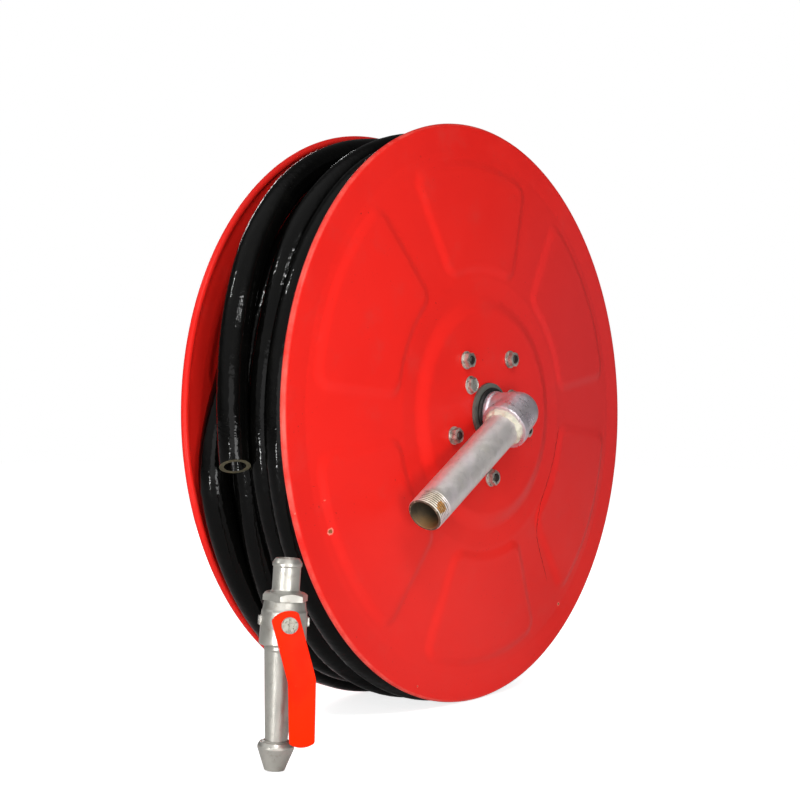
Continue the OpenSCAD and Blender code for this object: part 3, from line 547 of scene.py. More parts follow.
def galvanised():
    """Zinc skin on a steel pipe: spangle, warm and cool streaks, grime by the thread."""
    look = Look("galvanised", (0.72, 0.685, 0.66), 0.38, 0.62)
    spangle = look.cells(240.0)
    look.tint(look.remap(spangle, 0.2, 0.9), (0.58, 0.55, 0.53), 0.55)
    look.stain(38.0, 4.0, 0.42, 0.75, (0.80, 0.72, 0.77), 0.6)
    look.stain(55.0, 4.0, 0.52, 0.8, (0.74, 0.71, 0.60), 0.5, distortion=0.6)
    look.stain(120.0, 5.0, 0.62, 0.78, (0.26, 0.235, 0.21), 0.5, roughness=0.7)
    grime = look.near(at_pipe(160.0, 16.0, 150.0), 0.012, 0.008, 0.008, 160.0)
    look.tint(grime, (0.30, 0.26, 0.20), 0.7)
    crust = look.near(at_pipe(168.0, 16.6, 130.0), 0.014, 0.004, 0.012, 500.0)
    look.tint(crust, (0.70, 0.63, 0.48), 0.5)
    rust = look.near(at_pipe(164.4, 16.6, 106.0), 0.0058, 0.0010, 0.006, 420.0)
    look.dull(70.0, 4.0, 0.28, 0.52)
    look.roughen(crust, 0.3, 0.7)
    look.roughen(rust, 0.3, 0.9)
    look.tint(rust, (0.42, 0.185, 0.035))
    look.metal(rust)
    look.bump(spangle, 0.00006, 0.5)
    look.lumps(180.0, 4.0, 0.00016, 0.5)


def thread_grime():
    """Bottom of the pipe's thread: dark film with cream crumbs."""
    look = Look("thread_grime", (0.115, 0.095, 0.065), 0.6, 0.5)
    look.stain(300.0, 4.0, 0.50, 0.66, (0.42, 0.37, 0.27), 0.8, roughness=0.7)
    look.stain(120.0, 3.0, 0.50, 0.70, (0.045, 0.037, 0.026), 0.7)
    look.lumps(600.0, 3.0, 0.0001, 0.6)


def pipe_bore():
    """Inside of the pipe: brown film over dull zinc, rustier near the mouth."""
    look = Look("pipe_bore", (0.070, 0.052, 0.030), 0.6, 0.3)
    look.stain(90.0, 4.0, 0.4, 0.7, (0.036, 0.030, 0.020), 0.8)
    lip = look.near(at_pipe(172.0, 13.0, -10.0), 0.020, 0.014, 0.006, 160.0)
    look.tint(lip, (0.30, 0.17, 0.06), 0.8)
    look.lumps(300.0, 4.0, 0.0002, 0.7)


def cast_zinc():
    """Galvanised malleable iron: lumpy cast skin, bright zinc with a pink and lilac cast."""
    look = Look("cast_zinc", (0.66, 0.60, 0.64), 0.34, 0.75)
    look.stain(60.0, 4.0, 0.40, 0.8, (0.80, 0.70, 0.80), 0.7)
    look.stain(45.0, 3.0, 0.50, 0.8, (0.60, 0.58, 0.50), 0.4, distortion=0.8)
    look.stain(140.0, 5.0, 0.56, 0.74, (0.25, 0.22, 0.22), 0.6, roughness=0.7)
    look.dull(90.0, 4.0, 0.24, 0.48)
    look.lumps(300.0, 4.0, 0.0008, 0.8, roughness=0.6)
    look.lumps(80.0, 3.0, 0.0009, 0.6)


def zinc_plate():
    look = Look("zinc", (0.60, 0.585, 0.53), 0.34, 0.75)
    look.stain(130.0, 4.0, 0.46, 0.66, (0.20, 0.19, 0.165), 0.85)
    look.stain(380.0, 4.0, 0.58, 0.68, (0.05, 0.042, 0.032), 0.8)
    look.dull(200.0, 3.0, 0.28, 0.55)
    look.lumps(500.0, 3.0, 0.00010, 0.6)


def screw_zinc():
    """Dulled zinc on the lever's screw: pale grey-cream with dark flecks in its slot."""
    look = Look("screw_zinc", (0.40, 0.385, 0.33), 0.6, 0.15, Specular_IOR_Level=0.2)
    look.stain(260.0, 4.0, 0.42, 0.66, (0.23, 0.215, 0.18), 0.8)
    look.stain(520.0, 4.0, 0.56, 0.66, (0.05, 0.042, 0.032), 0.85)
    look.lumps(500.0, 3.0, 0.00012, 0.6)


def dark_steel():
    look = Look("dark_steel", (0.055, 0.056, 0.053), 0.46, 0.8)
    look.stain(160.0, 4.0, 0.42, 0.75, (0.020, 0.020, 0.019), 0.7)
    look.stain(300.0, 4.0, 0.62, 0.74, (0.13, 0.12, 0.10), 0.5)
    look.dull(120.0, 3.0, 0.36, 0.62)
    look.lumps(400.0, 3.0, 0.00008, 0.6)


def machined_steel():
    look = Look("machined_steel", (0.50, 0.49, 0.47), 0.30, 1.0)
    look.stain(90.0, 4.0, 0.45, 0.75, (0.34, 0.33, 0.315), 0.6)
    look.stain(350.0, 4.0, 0.60, 0.72, (0.11, 0.095, 0.075), 0.6)
    look.dull(150.0, 3.0, 0.22, 0.45)
    look.lumps(60.0, 2.0, 0.00006, 0.6, stretch=(1.0, 60.0, 1.0))


def cast_hub():
    """Grey-green enamel on the cast hub, greasy round the shaft."""
    look = Look("cast_hub", (0.125, 0.132, 0.115), 0.5, Specular_IOR_Level=0.35)
    look.stain(70.0, 4.0, 0.45, 0.75, (0.085, 0.088, 0.078), 0.7)
    look.stain(260.0, 4.0, 0.60, 0.72, (0.045, 0.04, 0.035), 0.7)
    look.dull(90.0, 3.0, 0.38, 0.62)
    look.lumps(320.0, 4.0, 0.0003, 0.7)


def bronze():
    look = Look("bronze", (0.56, 0.36, 0.15), 0.32, 1.0)
    look.stain(90.0, 4.0, 0.45, 0.75, (0.36, 0.22, 0.09), 0.6)
    look.dull(140.0, 3.0, 0.24, 0.45)
    look.lumps(300.0, 3.0, 0.00006, 0.6)


def brass():
    look = Look("brass_fitting", (0.66, 0.48, 0.19), 0.28, 1.0)
    look.stain(80.0, 4.0, 0.45, 0.75, (0.46, 0.32, 0.12), 0.6)
    look.dull(140.0, 3.0, 0.2, 0.42)
    look.lumps(280.0, 3.0, 0.00008, 0.6)


def seal_rubber():
    look = Look("seal_rubber", (0.010, 0.010, 0.010), 0.5, Specular_IOR_Level=0.3)
    look.dull(150.0, 3.0, 0.4, 0.62)
    look.lumps(500.0, 3.0, 0.00005, 0.5)


def jointing_compound():
    """Dried cream compound, smeared and uneven."""
    look = Look("compound", (0.64, 0.62, 0.50), 0.6)
    look.stain(120.0, 4.0, 0.45, 0.72, (0.46, 0.43, 0.33), 0.6)
    look.stain(300.0, 4.0, 0.60, 0.72, (0.30, 0.27, 0.20), 0.5)
    look.lumps(260.0, 4.0, 0.0007, 0.8)


def nozzle_alloy():
    """Satin light alloy, slightly warm: a fine skin, dull patches and stains."""
    look = Look("nozzle_alloy", (0.39, 0.38, 0.345), 0.39, 0.7)
    look.stain(60.0, 4.0, 0.42, 0.78, (0.49, 0.475, 0.435), 0.6)
    look.stain(130.0, 5.0, 0.50, 0.74, (0.26, 0.245, 0.21), 0.65, roughness=0.7)
    look.stain(480.0, 3.0, 0.66, 0.74, (0.20, 0.18, 0.155), 0.5)
    look.dull(110.0, 4.0, 0.30, 0.53)
    look.lumps(420.0, 4.0, 0.00014, 0.6)
    look.lumps(90.0, 2.0, 0.0004, 0.35)


def lever_paint():
    """Thick orange-red coating over a steel strap, a little uneven."""
    look = Look("lever_paint", (0.90, 0.0200, 0.0010), 0.42, Specular_IOR_Level=0.03)
    look.stain(40.0, 4.0, 0.42, 0.72, (0.76, 0.012, 0.0015), 0.7)
    look.stain(330.0, 4.0, 0.68, 0.74, (0.80, 0.06, 0.02), 0.4)
    look.dull(80.0, 3.0, 0.34, 0.5)
    look.lumps(300.0, 3.0, 0.00010, 0.6)
    look.lumps(60.0, 2.0, 0.0005, 0.4)


def seat_plastic():
    look = Look("seat_plastic", (0.80, 0.80, 0.78), 0.4)
    look.stain(120.0, 3.0, 0.45, 0.75, (0.70, 0.69, 0.66), 0.6)
    look.lumps(400.0, 3.0, 0.00004, 0.5)


def polished_steel():
    look = Look("polished_steel", (0.66, 0.66, 0.67), 0.12, 1.0)
    look.dull(150.0, 3.0, 0.08, 0.2)
    look.lumps(300.0, 3.0, 0.00002, 0.5)


def thread_steel():
    """Thread ends of the rods: black oil and dirt in the grooves."""
    look = Look("thread_steel", (0.060, 0.056, 0.050), 0.5, 0.8)
    look.stain(350.0, 4.0, 0.45, 0.7, (0.018, 0.017, 0.015), 0.8)
    look.lumps(500.0, 3.0, 0.0001, 0.6)


for make_finish in (galvanised, thread_grime, pipe_bore, jointing_compound, cast_zinc,
                    machined_steel, polished_steel, dark_steel, zinc_plate, screw_zinc,
                    thread_steel, cast_hub, bronze, brass, seal_rubber, red_paint, panel_foot_shade_and_grime,
                    hose_rubber, cut_rubber, nozzle_alloy, lever_paint, seat_plastic):
    make_finish()

for part in frame["record"]["subparts"]:
    data = nodes[part["node"]].data
    data.materials.clear()
    data.materials.append(MATERIALS[part["material_slot"]])

# ---------------- hose

HOSE_R = 13.5
HOSE_BORE_R = 9.5
TURN_STEP = 27.5
TURN_R = 257.0
FIRST_TURN_Z = -16.25
STEP_START = 240
STEP_SPAN = 120
DIVE = 27.8
TURN_SAG = 8.0
SAG_ANGLE = 232.0
WIND_START = 60.0
WIND_END = 1380.0
INNER_END = 1290.0
LAYER_GAP = 0.5
# Degrees by which the first turn goes on under the next one before it starts to rise
HIDDEN_START = 132.0
# Where the winding lies deeper: by how much, and the degrees wound at which it starts down,
# is down, starts up and is up again
DIPS = [(DIVE, -200, -199, 0, 70), (10.0, 435, 465, 505, 535), (17.0, 750, 775, 850, 890),
        (DIVE, 890, 950, 1185, 1217)]
# The free end is cut a little askew: the near side is the shorter
CUT_SLANT = 28.0
CUT_ROUND = 0.45
CUT_RINGS = 7
BORE_SEEN = 60.0

# Route of the free tail in the reel's axes, from the end of the winding to the cut end
TAIL_POINTS = [
    (257, 27, -98.75), (257, 54, -98.75),
    (243, 86, -99), (217, 142, -99), (172, 191, -99), (121, 227, -99),
    (62, 250, -99), (0, 258, -99), (-62, 250, -98), (-114, 233, -94), (-158, 210, -88),
    (-195, 182, -80), (-226, 147, -74), (-249, 105, -68), (-264, 61, -63),
    (-271, 14, -59), (-271, -21, -58), (-268, -53, -58),
]


def ease(a, b, x):
    """0 up to a, 1 from b, and a smooth rise between; x may be an array."""
    t = np.clip((x - a) / (b - a), 0.0, 1.0)
    return t * t * (3 - 2 * t)


def turn_place(wound):
    """Place along the spindle: each turn steps across to the next one in its last third."""
    steps = (ease(STEP_START + whole, STEP_START + STEP_SPAN + whole, wound)
             for whole in (0, 360, 720))
    return FIRST_TURN_Z - TURN_STEP * sum(steps)


def turn_dip(wound):
    return sum(depth * (ease(start, down, wound) - ease(leave, up, wound))
               for depth, start, down, leave, up in DIPS)


def turn_point(wound, lower=0.0):
    angle = math.radians(WIND_START + wound)
    sag = TURN_SAG * max(0.0, math.cos(angle - math.radians(SAG_ANGLE))) ** 4
    r = TURN_R - turn_dip(wound) + sag - lower
    return np.array((r * math.cos(angle), r * math.sin(angle), turn_place(wound)))


def unit(v):
    return v / np.linalg.norm(v)


def spline(points, per_span):
    """A smooth curve through points, as many steps a span as asked."""
    p = [np.array(q, float) for q in points]
    p = [2 * p[0] - p[1]] + p + [2 * p[-1] - p[-2]]
    out = []
    for a, b, c, d in zip(p, p[1:], p[2:], p[3:]):
        for k in range(per_span):
            t = k / per_span
            out.append(0.5 * (2 * b + (c - a) * t + (2 * a - 5 * b + 4 * c - d) * t * t
                              + (3 * b - a - 3 * c + d) * t ** 3))
    return out + [p[-2]]


def heading(centres, i):
    return unit(centres[min(i + 1, len(centres) - 1)] - centres[max(i - 1, 0)])


def across(centres):
    """(side, up) at each centre of a route round the spindle: side points away from it."""
    pairs = []
    for i, centre in enumerate(centres):
        along = heading(centres, i)
        out = np.array((centre[0], centre[1], 0.0))
        side = unit(out - out.dot(along) * along)
        pairs.append((side, np.cross(along, side)))
    return pairs


def make_tail():
    """The free end of the hose: round, with its wall and bore showing at the slanted cut."""
    sides = 40
    centres = spline(TAIL_POINTS, 8)
    pairs = across(centres)
    points, faces = tube_mesh(centres, pairs, sides, HOSE_R)
    faces.pop()
    outside = len(faces)
    end, along, (side, up) = centres[-1], unit(centres[-1] - centres[-2]), pairs[-1]
    rims = [(HOSE_R - 0.5, 0.0), (HOSE_BORE_R + 0.5, 0.0), (HOSE_BORE_R, -CUT_ROUND),
            (HOSE_BORE_R, -CUT_ROUND - BORE_SEEN / 3), (HOSE_BORE_R, -CUT_ROUND - BORE_SEEN)]
    start = len(points) - sides
    for radius, height in rims:
        points += [end + height * along + radius * (math.cos(a) * side + math.sin(a) * up)
                   for a in circle(sides)]
    faces += [tuple(start + i for i in face) for face in grid_faces(len(rims) + 1, sides)]
    faces.append(tuple(range(len(points) - sides, len(points))))
    toward = np.array(REEL.inverted() @ CAMERA_PLACE - Vector(end))
    toward = unit(toward - along.dot(toward) * along)
    slant = math.tan(math.radians(CUT_SLANT))
    for i in range((len(centres) - CUT_RINGS) * sides, len(points)):
        reach = points[i] - end
        past = reach.dot(along) + slant * (HOSE_R + reach.dot(toward))
        points[i] = points[i] - max(0.0, past) * along
    piece = stand_in("hose_tail_skin", (points, faces), "hose_tail", REEL, sharp=50.0)
    piece.data.materials.append(MATERIALS["cut_rubber"])
    for face in piece.data.polygons[outside:outside + 3 * sides]:
        face.material_index = 1


def make_layer(name, node, start, end, lower, sides, step, straight=0.0):
    """One layer of the wound hose as an unbroken tube, with a straight run at its end."""
    count = int((end - start) / step)
    wound = [start + (end - start) * k / count for k in range(count + 1)]
    centres = [turn_point(w, lower) for w in wound]
    if straight:
        onward = np.array((-centres[-1][1], centres[-1][0], 0.0))
        centres.append(centres[-1] + straight * unit(onward))
    stand_in(name, tube_mesh(centres, across(centres), sides, HOSE_R), node, REEL, sharp=60.0)


make_tail()
make_layer("hose_outer_layer", "hose_winding", -HIDDEN_START, WIND_END, lower=0.0,
           sides=36, step=3.0, straight=2 * HOSE_R)
make_layer("hose_inner_layer", "hose_core", 0.0, INNER_END, lower=2 * HOSE_R + LAYER_GAP,
           sides=20, step=5.0)

# ---------------- pressed discs

# The boss starts to fall and its slope ends here; the bends are wider than in the solid
BOSS_TOP_R = 95.0
BOSS_FOOT_R = 113.0
BEND_IN = 5.0
BEND_OUT = 7.0
PANEL_COUNT = 6
PANEL_FIRST = 92.0
PANEL_IN_R = 134.0
PANEL_OUT_R = BAND_R - 10.0
PANEL_RISE = 2.5
PANEL_HALF = 23.0
PANEL_CORNER_R = 16.0
PANEL_SLOPE_OUT = 3.0
PANEL_SLOPE_IN = 8.0
HUB_HOLE_R = 28.3

# Runs of rings on the disc, as from, to and how many: closer where the sheet bends
RING_RUNS = [(HUB_HOLE_R, 92.0, 8), (94.0, 146.0, 40), (150.0, 226.0, 20), (228.0, 258.0, 26),
             (260.0, DISC_R - BEAD_R, 5)]


def press_height(r, angle):
    """Height of the pressed face over the rim plane, in millimetres, with every bend rounded."""
    blend = ease(CHANNEL_R - BEND_IN, CHANNEL_R + BEND_OUT, r)
    base = CHANNEL_RISE * (1 - blend) + np.minimum(CHANNEL_RISE, cone_height(r)) * blend
    base = np.where(r > BAND_R, BEAD_R, base)
    rim_blend = ease(BAND_R - BEND_IN, BAND_R + BEND_IN, r)
    base = base * (1 - rim_blend) + BEAD_R * rim_blend
    boss = (BOSS_RISE - CHANNEL_RISE) * (1 - ease(BOSS_TOP_R, BOSS_FOOT_R, r))
    half_pitch = 180.0 / PANEL_COUNT
    turn_from = (angle - PANEL_FIRST + half_pitch) % (2 * half_pitch) - half_pitch
    side = np.radians(PANEL_HALF) * r - np.radians(np.abs(turn_from)) * r
    dx = PANEL_CORNER_R - side
    dy = PANEL_CORNER_R - np.minimum(r - PANEL_IN_R, PANEL_OUT_R - r)
    inside = PANEL_CORNER_R - np.hypot(np.maximum(dx, 0.0), np.maximum(dy, 0.0))
    inside = np.where((dx <= 0) & (dy <= 0), -np.maximum(dx, dy) + PANEL_CORNER_R, inside)
    panel = PANEL_RISE * ease(-PANEL_SLOPE_OUT, PANEL_SLOPE_IN, inside)
    return base + boss + panel


def disc_mesh():
    """Front and back of the sheet as one grid each, joined round the hub hole and at the rim."""
    radii = np.unique(np.concatenate([np.linspace(*run) for run in RING_RUNS]))
    steps = 480
    angles = np.arange(steps) * 360.0 / steps
    round_angles = np.radians(angles)
    points = []

    def ring(r, heights):
        points.extend((r * math.cos(a), r * math.sin(a), float(z))
                      for a, z in zip(round_angles, heights))

    for r in radii:
        ring(r, press_height(np.full(steps, r), angles))
    # The rolled rim, from its top round the outside and back to the sheet
    for turned in range(18, 288, 18):
        a = math.radians(90 - turned)
        ring(DISC_R - BEAD_R + BEAD_R * math.cos(a), np.full(steps, BEAD_R * math.sin(a)))
    for r in radii[::-1]:
        back = press_height(np.full(steps, r), angles) - SHEET
        ring(r, np.where(r > DISC_R - BEAD_R - 1.0, BEAD_R - SHEET, back))
    return points, grid_faces(len(points) // steps, steps, closed=True)


def make_panel_foot_line():
    """Thin dark line that follows the foot of the lower right panel: painted shade and grime where
    the panel's edge meets the sheet.
    """
    dice = random.Random(5)
    # Radius and angle along the panel's edge
    route = [(135.0, -5.0), (132.5, -12.0), (131.5, -20.0), (131.5, -28.0), (132.0, -36.0),
             (134.0, -43.0), (142.0, -49.0), (158.0, -52.5), (176.0, -53.5), (196.0, -54.0),
             (212.0, -54.5)]
    centres = spline([(r * math.cos(math.radians(a)), r * math.sin(math.radians(a)), 0.0)
                      for r, a in route], 8)
    points = []
    for i, centre in enumerate(centres):
        along = heading(centres, i)
        side = np.array((-along[1], along[0], 0.0))
        half = dice.uniform(0.12, 0.42) * min(1.0, i / 6, (len(centres) - 1 - i) / 6)
        centre = centre + dice.uniform(-0.35, 0.35) * side
        for edge in (-1, 1):
            place = centre + edge * max(half, 0.02) * side
            r, a = math.hypot(place[0], place[1]), math.degrees(math.atan2(place[1], place[0]))
            lift = float(press_height(np.array([r]), np.array([a]))[0]) + 0.08
            points.append((place[0], place[1], lift))
    faces = [(i, i + 2, i + 3, i + 1) for i in range(0, len(points) - 2, 2)]
    new_piece("panel_foot_shade_line", (points, faces), "drum", REEL, "panel_foot_shade_and_grime", 180.0)


make_panel_foot_line()
DISC = disc_mesh()
stand_in("front_disc_pressing", DISC, "front_disc", REEL, sharp=60.0)
stand_in("rear_disc_pressing", DISC, "rear_disc", REAR, sharp=60.0)

# ---------------- inlet: elbow, pipe and hub

ELBOW_LEG = 26.5
PIPE_START = 17.5
THREAD_PITCH = 2.3
THREAD_DEPTH = 1.15
GRIME_DEPTH = 0.62
PIPE_CHAMFER = 1.3
COMPOUND_START = ELBOW_LEG - 0.8
COMPOUND_W = 5.2
COMPOUND_T = 2.8
COMPOUND_BORE_R = PIPE_R - 0.4


def pipe_mesh():
    """The pipe in its own axes: plain, then a V groove that winds to the chamfered mouth.

    Returns the mesh and the number of faces on its outside."""
    segments = 120
    thread_start = PIPE_REACH - THREAD_LEN
    heights = list(np.linspace(PIPE_START, thread_start - 0.5, 12))
    heights += list(np.arange(thread_start, PIPE_REACH - 0.1, THREAD_PITCH / 9)) + [PIPE_REACH]
    rows = []
    for z in heights:
        depth = ease(thread_start, thread_start + 1.5 * THREAD_PITCH, z)
        mouth = THREAD_R - max(0.0, PIPE_CHAMFER - (PIPE_REACH - z))
        grooves = [2 * abs((z / THREAD_PITCH - k / segments) % 1.0 - 0.5) for k in range(segments)]
        rows.append([(min(mouth, PIPE_R + depth * (THREAD_R - PIPE_R - THREAD_DEPTH * groove)), z)
                     for groove in grooves])
    inside = [(PIPE_BORE_R + 0.5, PIPE_REACH), (PIPE_BORE_R, PIPE_REACH - 0.5),
              (PIPE_BORE_R, PIPE_REACH - 60.0), (PIPE_BORE_R, PIPE_START)]
    rows += [[place] * segments for place in inside]
    return rows_mesh(rows), len(heights) * segments


def make_pipe():
    """The pipe with a brown bore and grime in the deep part of its thread."""
    mesh, outside = pipe_mesh()
    pipe = stand_in("inlet_pipe_threaded", mesh, "inlet_pipe", PIPE, sharp=50.0)
    pipe.data.materials.append(MATERIALS["pipe_bore"])
    pipe.data.materials.append(MATERIALS["thread_grime"])
    axis_start, axis_end = PIPE @ Vector((0, 0, 0)), PIPE @ Vector((0, 0, 1))
    way = (axis_end - axis_start).normalized()
    for index, face in enumerate(pipe.data.polygons):
        reach = face.center - axis_start
        off_axis = (reach - reach.dot(way) * way).length / MM
        if index >= outside:
            face.material_index = 1
        elif off_axis < THREAD_R - GRIME_DEPTH * THREAD_DEPTH:
            face.material_index = 2


def compound_mesh():
    """Compound squeezed out of the joint: a collar that swells and thins round the pipe."""
    segments = 144
    dice = random.Random(11)
    waves = [(n, dice.uniform(0.10, 0.30), dice.uniform(0.0, 6.3)) for n in (2, 3, 5, 7, 12, 19)]
    rows = []
    for t in np.linspace(0.0, 1.0, 9):
        row = []
        for a in circle(segments):
            swell = sum(size * math.cos(n * a + start + 0.8 * t) for n, size, start in waves)
            thick = COMPOUND_T * (1.0 + 0.45 * swell) * math.sqrt(max(0.0, 1.0 - t ** 2.2))
            row.append((PIPE_R - 0.2 + max(0.15, thick),
                        COMPOUND_START + COMPOUND_W * t * (1.0 + 0.35 * swell)))
        rows.append(row)
    rows.append([(COMPOUND_BORE_R, z) for r, z in rows[-1]])
    rows.append([(COMPOUND_BORE_R, COMPOUND_START)] * segments)
    return rows_mesh(rows)


def ring_profile(outer, inner, low, high, edge=0.3):
    """A flat ring with its outer edges rounded, as a closed profile."""
    corners = [(inner, low), (outer, low), (outer, high), (inner, high)]
    return rounded(corners, [0.0, edge, edge, edge / 2], steps=3)


make_pipe()
stand_in("pipe_compound_collar", compound_mesh(), "pipe_compound", PIPE, sharp=180.0)
melted("inlet_elbow", "inlet_elbow_cast", "cast_zinc", voxel=0.0007, rounds=6)
THRUST_RING = ring_profile(outer=23.4, inner=17.0, low=22.8, high=25.5, edge=0.5)
stand_in("front_thrust_ring", lathe_mesh(THRUST_RING, closed=True), "front_thrust_washer", REEL)

# ---------------- bolts, nuts and washers


def round_places(first, count, radius):
    """Places on a circle round the spindle, from a first angle."""
    return [turn(first + 360 / count * i, "Z") @ shift(radius, 0, 0) for i in range(count)]


TIE_PLACES = round_places(56, 5, 62)
BOLT_PLACES = round_places(20, 3, 40)
NUT_AF = 13.0
FLANGE_R = 8.75
FLANGE_RIM = 0.7
DISH_R = 5.0
SHANK_FOOT = 10.5
WASHER_TOP = BOSS_RISE + 1.6
NUT_TOP = WASHER_TOP + 5.5
ROD_END = NUT_TOP + 1.0
BOLT_FLANGE_TOP = BOSS_RISE + 1.2
BOLT_TOP = BOSS_RISE + 5.0
THREAD_8_R = 4.0
THREAD_8_ROOT_R = 3.4
THREAD_8_PITCH = 1.25


def each(mesh, places):
    return joined([moved(mesh, place) for place in places])


def bolt_mesh():
    """Flange bolt: a thin rounded flange under a hexagon with a shallow dish in its top."""
    cone_top = BOLT_FLANGE_TOP + 0.3
    flange = rounded([(0, BOSS_RISE), (FLANGE_R, BOSS_RISE), (FLANGE_R, BOSS_RISE + FLANGE_RIM),
                      (FLANGE_R - 1.75, cone_top), (0, cone_top)],
                     [0, 0.2, 0.3, 0.3, 0], closed=False, steps=3)
    dish = [(0, BOLT_TOP - 0.9), (DISH_R + 0.1, BOLT_TOP - 0.9), (DISH_R, BOLT_TOP - 0.3)]
    top = [(DISH_R + 0.05, BOLT_TOP - 0.45), (DISH_R - 1.0, BOLT_TOP - 0.55), (0, BOLT_TOP - 0.55)]
    shank = [(0, SHANK_FOOT), (THREAD_8_R, SHANK_FOOT), (THREAD_8_R, BOSS_RISE), (0, BOSS_RISE)]
    head = hexagon_mesh(NUT_AF, BOLT_FLANGE_TOP, BOLT_TOP, DISH_R, 1.2)
    return joined([lathe_mesh(flange, 60), head, lathe_mesh(dish, 60), lathe_mesh(top, 60),
                   lathe_mesh(shank, 36)])


def rod_mesh():
    """Tie rod with a groove at each pitch of its ends and a chamfer."""
    end = [(0.0, ROD_END), (3.2, ROD_END), (3.9, ROD_END - 0.7)]
    for k in range(6):
        z = ROD_END - 1.0 - THREAD_8_PITCH * k
        end += [(THREAD_8_R, z), (THREAD_8_ROOT_R, z - 0.6)]
    end.append((THREAD_8_R, BOSS_RISE))
    low = [(r, -RIM_GAP - z) for r, z in end]
    return lathe_mesh(low + end[::-1], 36)


NUT = hexagon_mesh(NUT_AF, WASHER_TOP, NUT_TOP, THREAD_8_R, 1.1)
WASHER = lathe_mesh(ring_profile(8.5, 4.3, BOSS_RISE, WASHER_TOP, 0.35), 60, closed=True)
for side, place in (("front", REEL), ("rear", REAR)):
    stand_in(side + "_nut_set", each(NUT, TIE_PLACES), side + "_tie_nuts", place, sharp=30.0)
    stand_in(side + "_washer_set", each(WASHER, TIE_PLACES), side + "_tie_washers", place)
    stand_in(side + "_bolt_set", each(bolt_mesh(), BOLT_PLACES), side + "_hub_bolts", place,
             sharp=30.0)
stand_in("tie_rod_set", each(rod_mesh(), TIE_PLACES), "tie_rods", REEL, "thread_steel", 30.0)

# ---------------- nozzle

TIP_TOP = 22.0
TIP_BORE_R = 4.0
BARREL_TOP = 96.0
BARREL_BORE_R = 5.5
BARREL_FOOT_R = 8.7
SOCKET_R = 11.0
HEX_Z = 130.5
BARB_Z = 137.0
BARB_R = 10.7
BARB_TOP = 163.0
BARB_BORE_R = 7.75
BALL_Z = 114.75
LEVER_X = 25.75
LEVER_T = 3.0
LEVER_HALF = 10.7
LEVER_END_HALF = 9.8
LEVER_END_R = 17.0
LEVER_LEAN = 18.5
LEVER_LOW_LEAN = 183.6
LEVER_BEND_ASIDE = 1.4
LEVER_BEND_DOWN = 43.5
LEVER_UP_LEN = 54.5
LEVER_DOWN_LEN = 50.5
LEVER_BEND_R = 12.0
LEVER_CORNER_R = 4.0

TIP = rounded([(4.6, 0.0), (7.75, 0.0), (14.2, TIP_TOP - 5.0), (14.2, TIP_TOP - 3.0),
               (12.7, TIP_TOP), (11.2, TIP_TOP), (10.2, TIP_TOP + 1.0), (8.72, TIP_TOP + 1.0)],
              [0, 0.9, 2.0, 1.2, 0.7, 0.2, 0.4, 0], closed=False)
TIP += [(8.72, TIP_TOP - 3.0), (BARREL_BORE_R, TIP_TOP - 3.0), (TIP_BORE_R, 7.3), (TIP_BORE_R, 0.6)]
BARREL = rounded([(BARREL_BORE_R, TIP_TOP - 3.0), (BARREL_FOOT_R, TIP_TOP - 3.0),
                  (BARREL_FOOT_R, TIP_TOP + 1.0), (13.6, BARREL_TOP - 4.5),
                  (14.0, BARREL_TOP - 3.0), (14.0, BARREL_TOP), (SOCKET_R, BARREL_TOP),
                  (SOCKET_R, BARREL_TOP + 3.0), (BARREL_BORE_R, BARREL_TOP + 3.0)],
                 [0, 0, 2.0, 1.5, 1.0, 0.5, 0, 0, 0])
BARB = rounded([(12.6, BARB_Z - 0.5), (12.4, BARB_Z + 0.2), (BARB_R, BARB_Z + 1.6),
                (BARB_R, BARB_TOP - 6.5), (11.5, BARB_TOP - 6.1), (11.5, BARB_TOP - 3.5),
                (9.25, BARB_TOP), (7.9, BARB_TOP), (BARB_BORE_R, BARB_TOP - 0.8)],
               [0, 0, 1.2, 0.5, 0.8, 0.9, 0.6, 0.2, 0], closed=False)
BARB += [(BARB_BORE_R, 126.0), (SOCKET_R, 126.0), (SOCKET_R, BARB_Z - 0.5)]
BARB_HEXAGON = moved(hexagon_mesh(31.5, HEX_Z, BARB_Z, SOCKET_R, 1.4), turn(-21, "Z"))
stand_in("nozzle_tip_turned", lathe_mesh(TIP, closed=True), "nozzle_tip", NOZZLE)
stand_in("nozzle_barrel_turned", lathe_mesh(BARREL, closed=True), "nozzle_barrel", NOZZLE)
stand_in("nozzle_barb_turned", joined([lathe_mesh(BARB, closed=True), BARB_HEXAGON]),
         "nozzle_barb", NOZZLE, sharp=30.0)

melted("valve_body", "valve_body_cast", "nozzle_alloy", voxel=0.0005, rounds=4)
melted("stem_gland", "stem_gland_turned", "nozzle_alloy", voxel=0.0004, rounds=3)
melted("lever_screw", "lever_screw_head", "screw_zinc", voxel=0.0003, rounds=3)


def ways(lean):
    """Unit vectors along and across a direction that leans from the plate's up."""
    a = math.radians(lean)
    return np.array((-math.sin(a), math.cos(a))), np.array((math.cos(a), math.sin(a)))


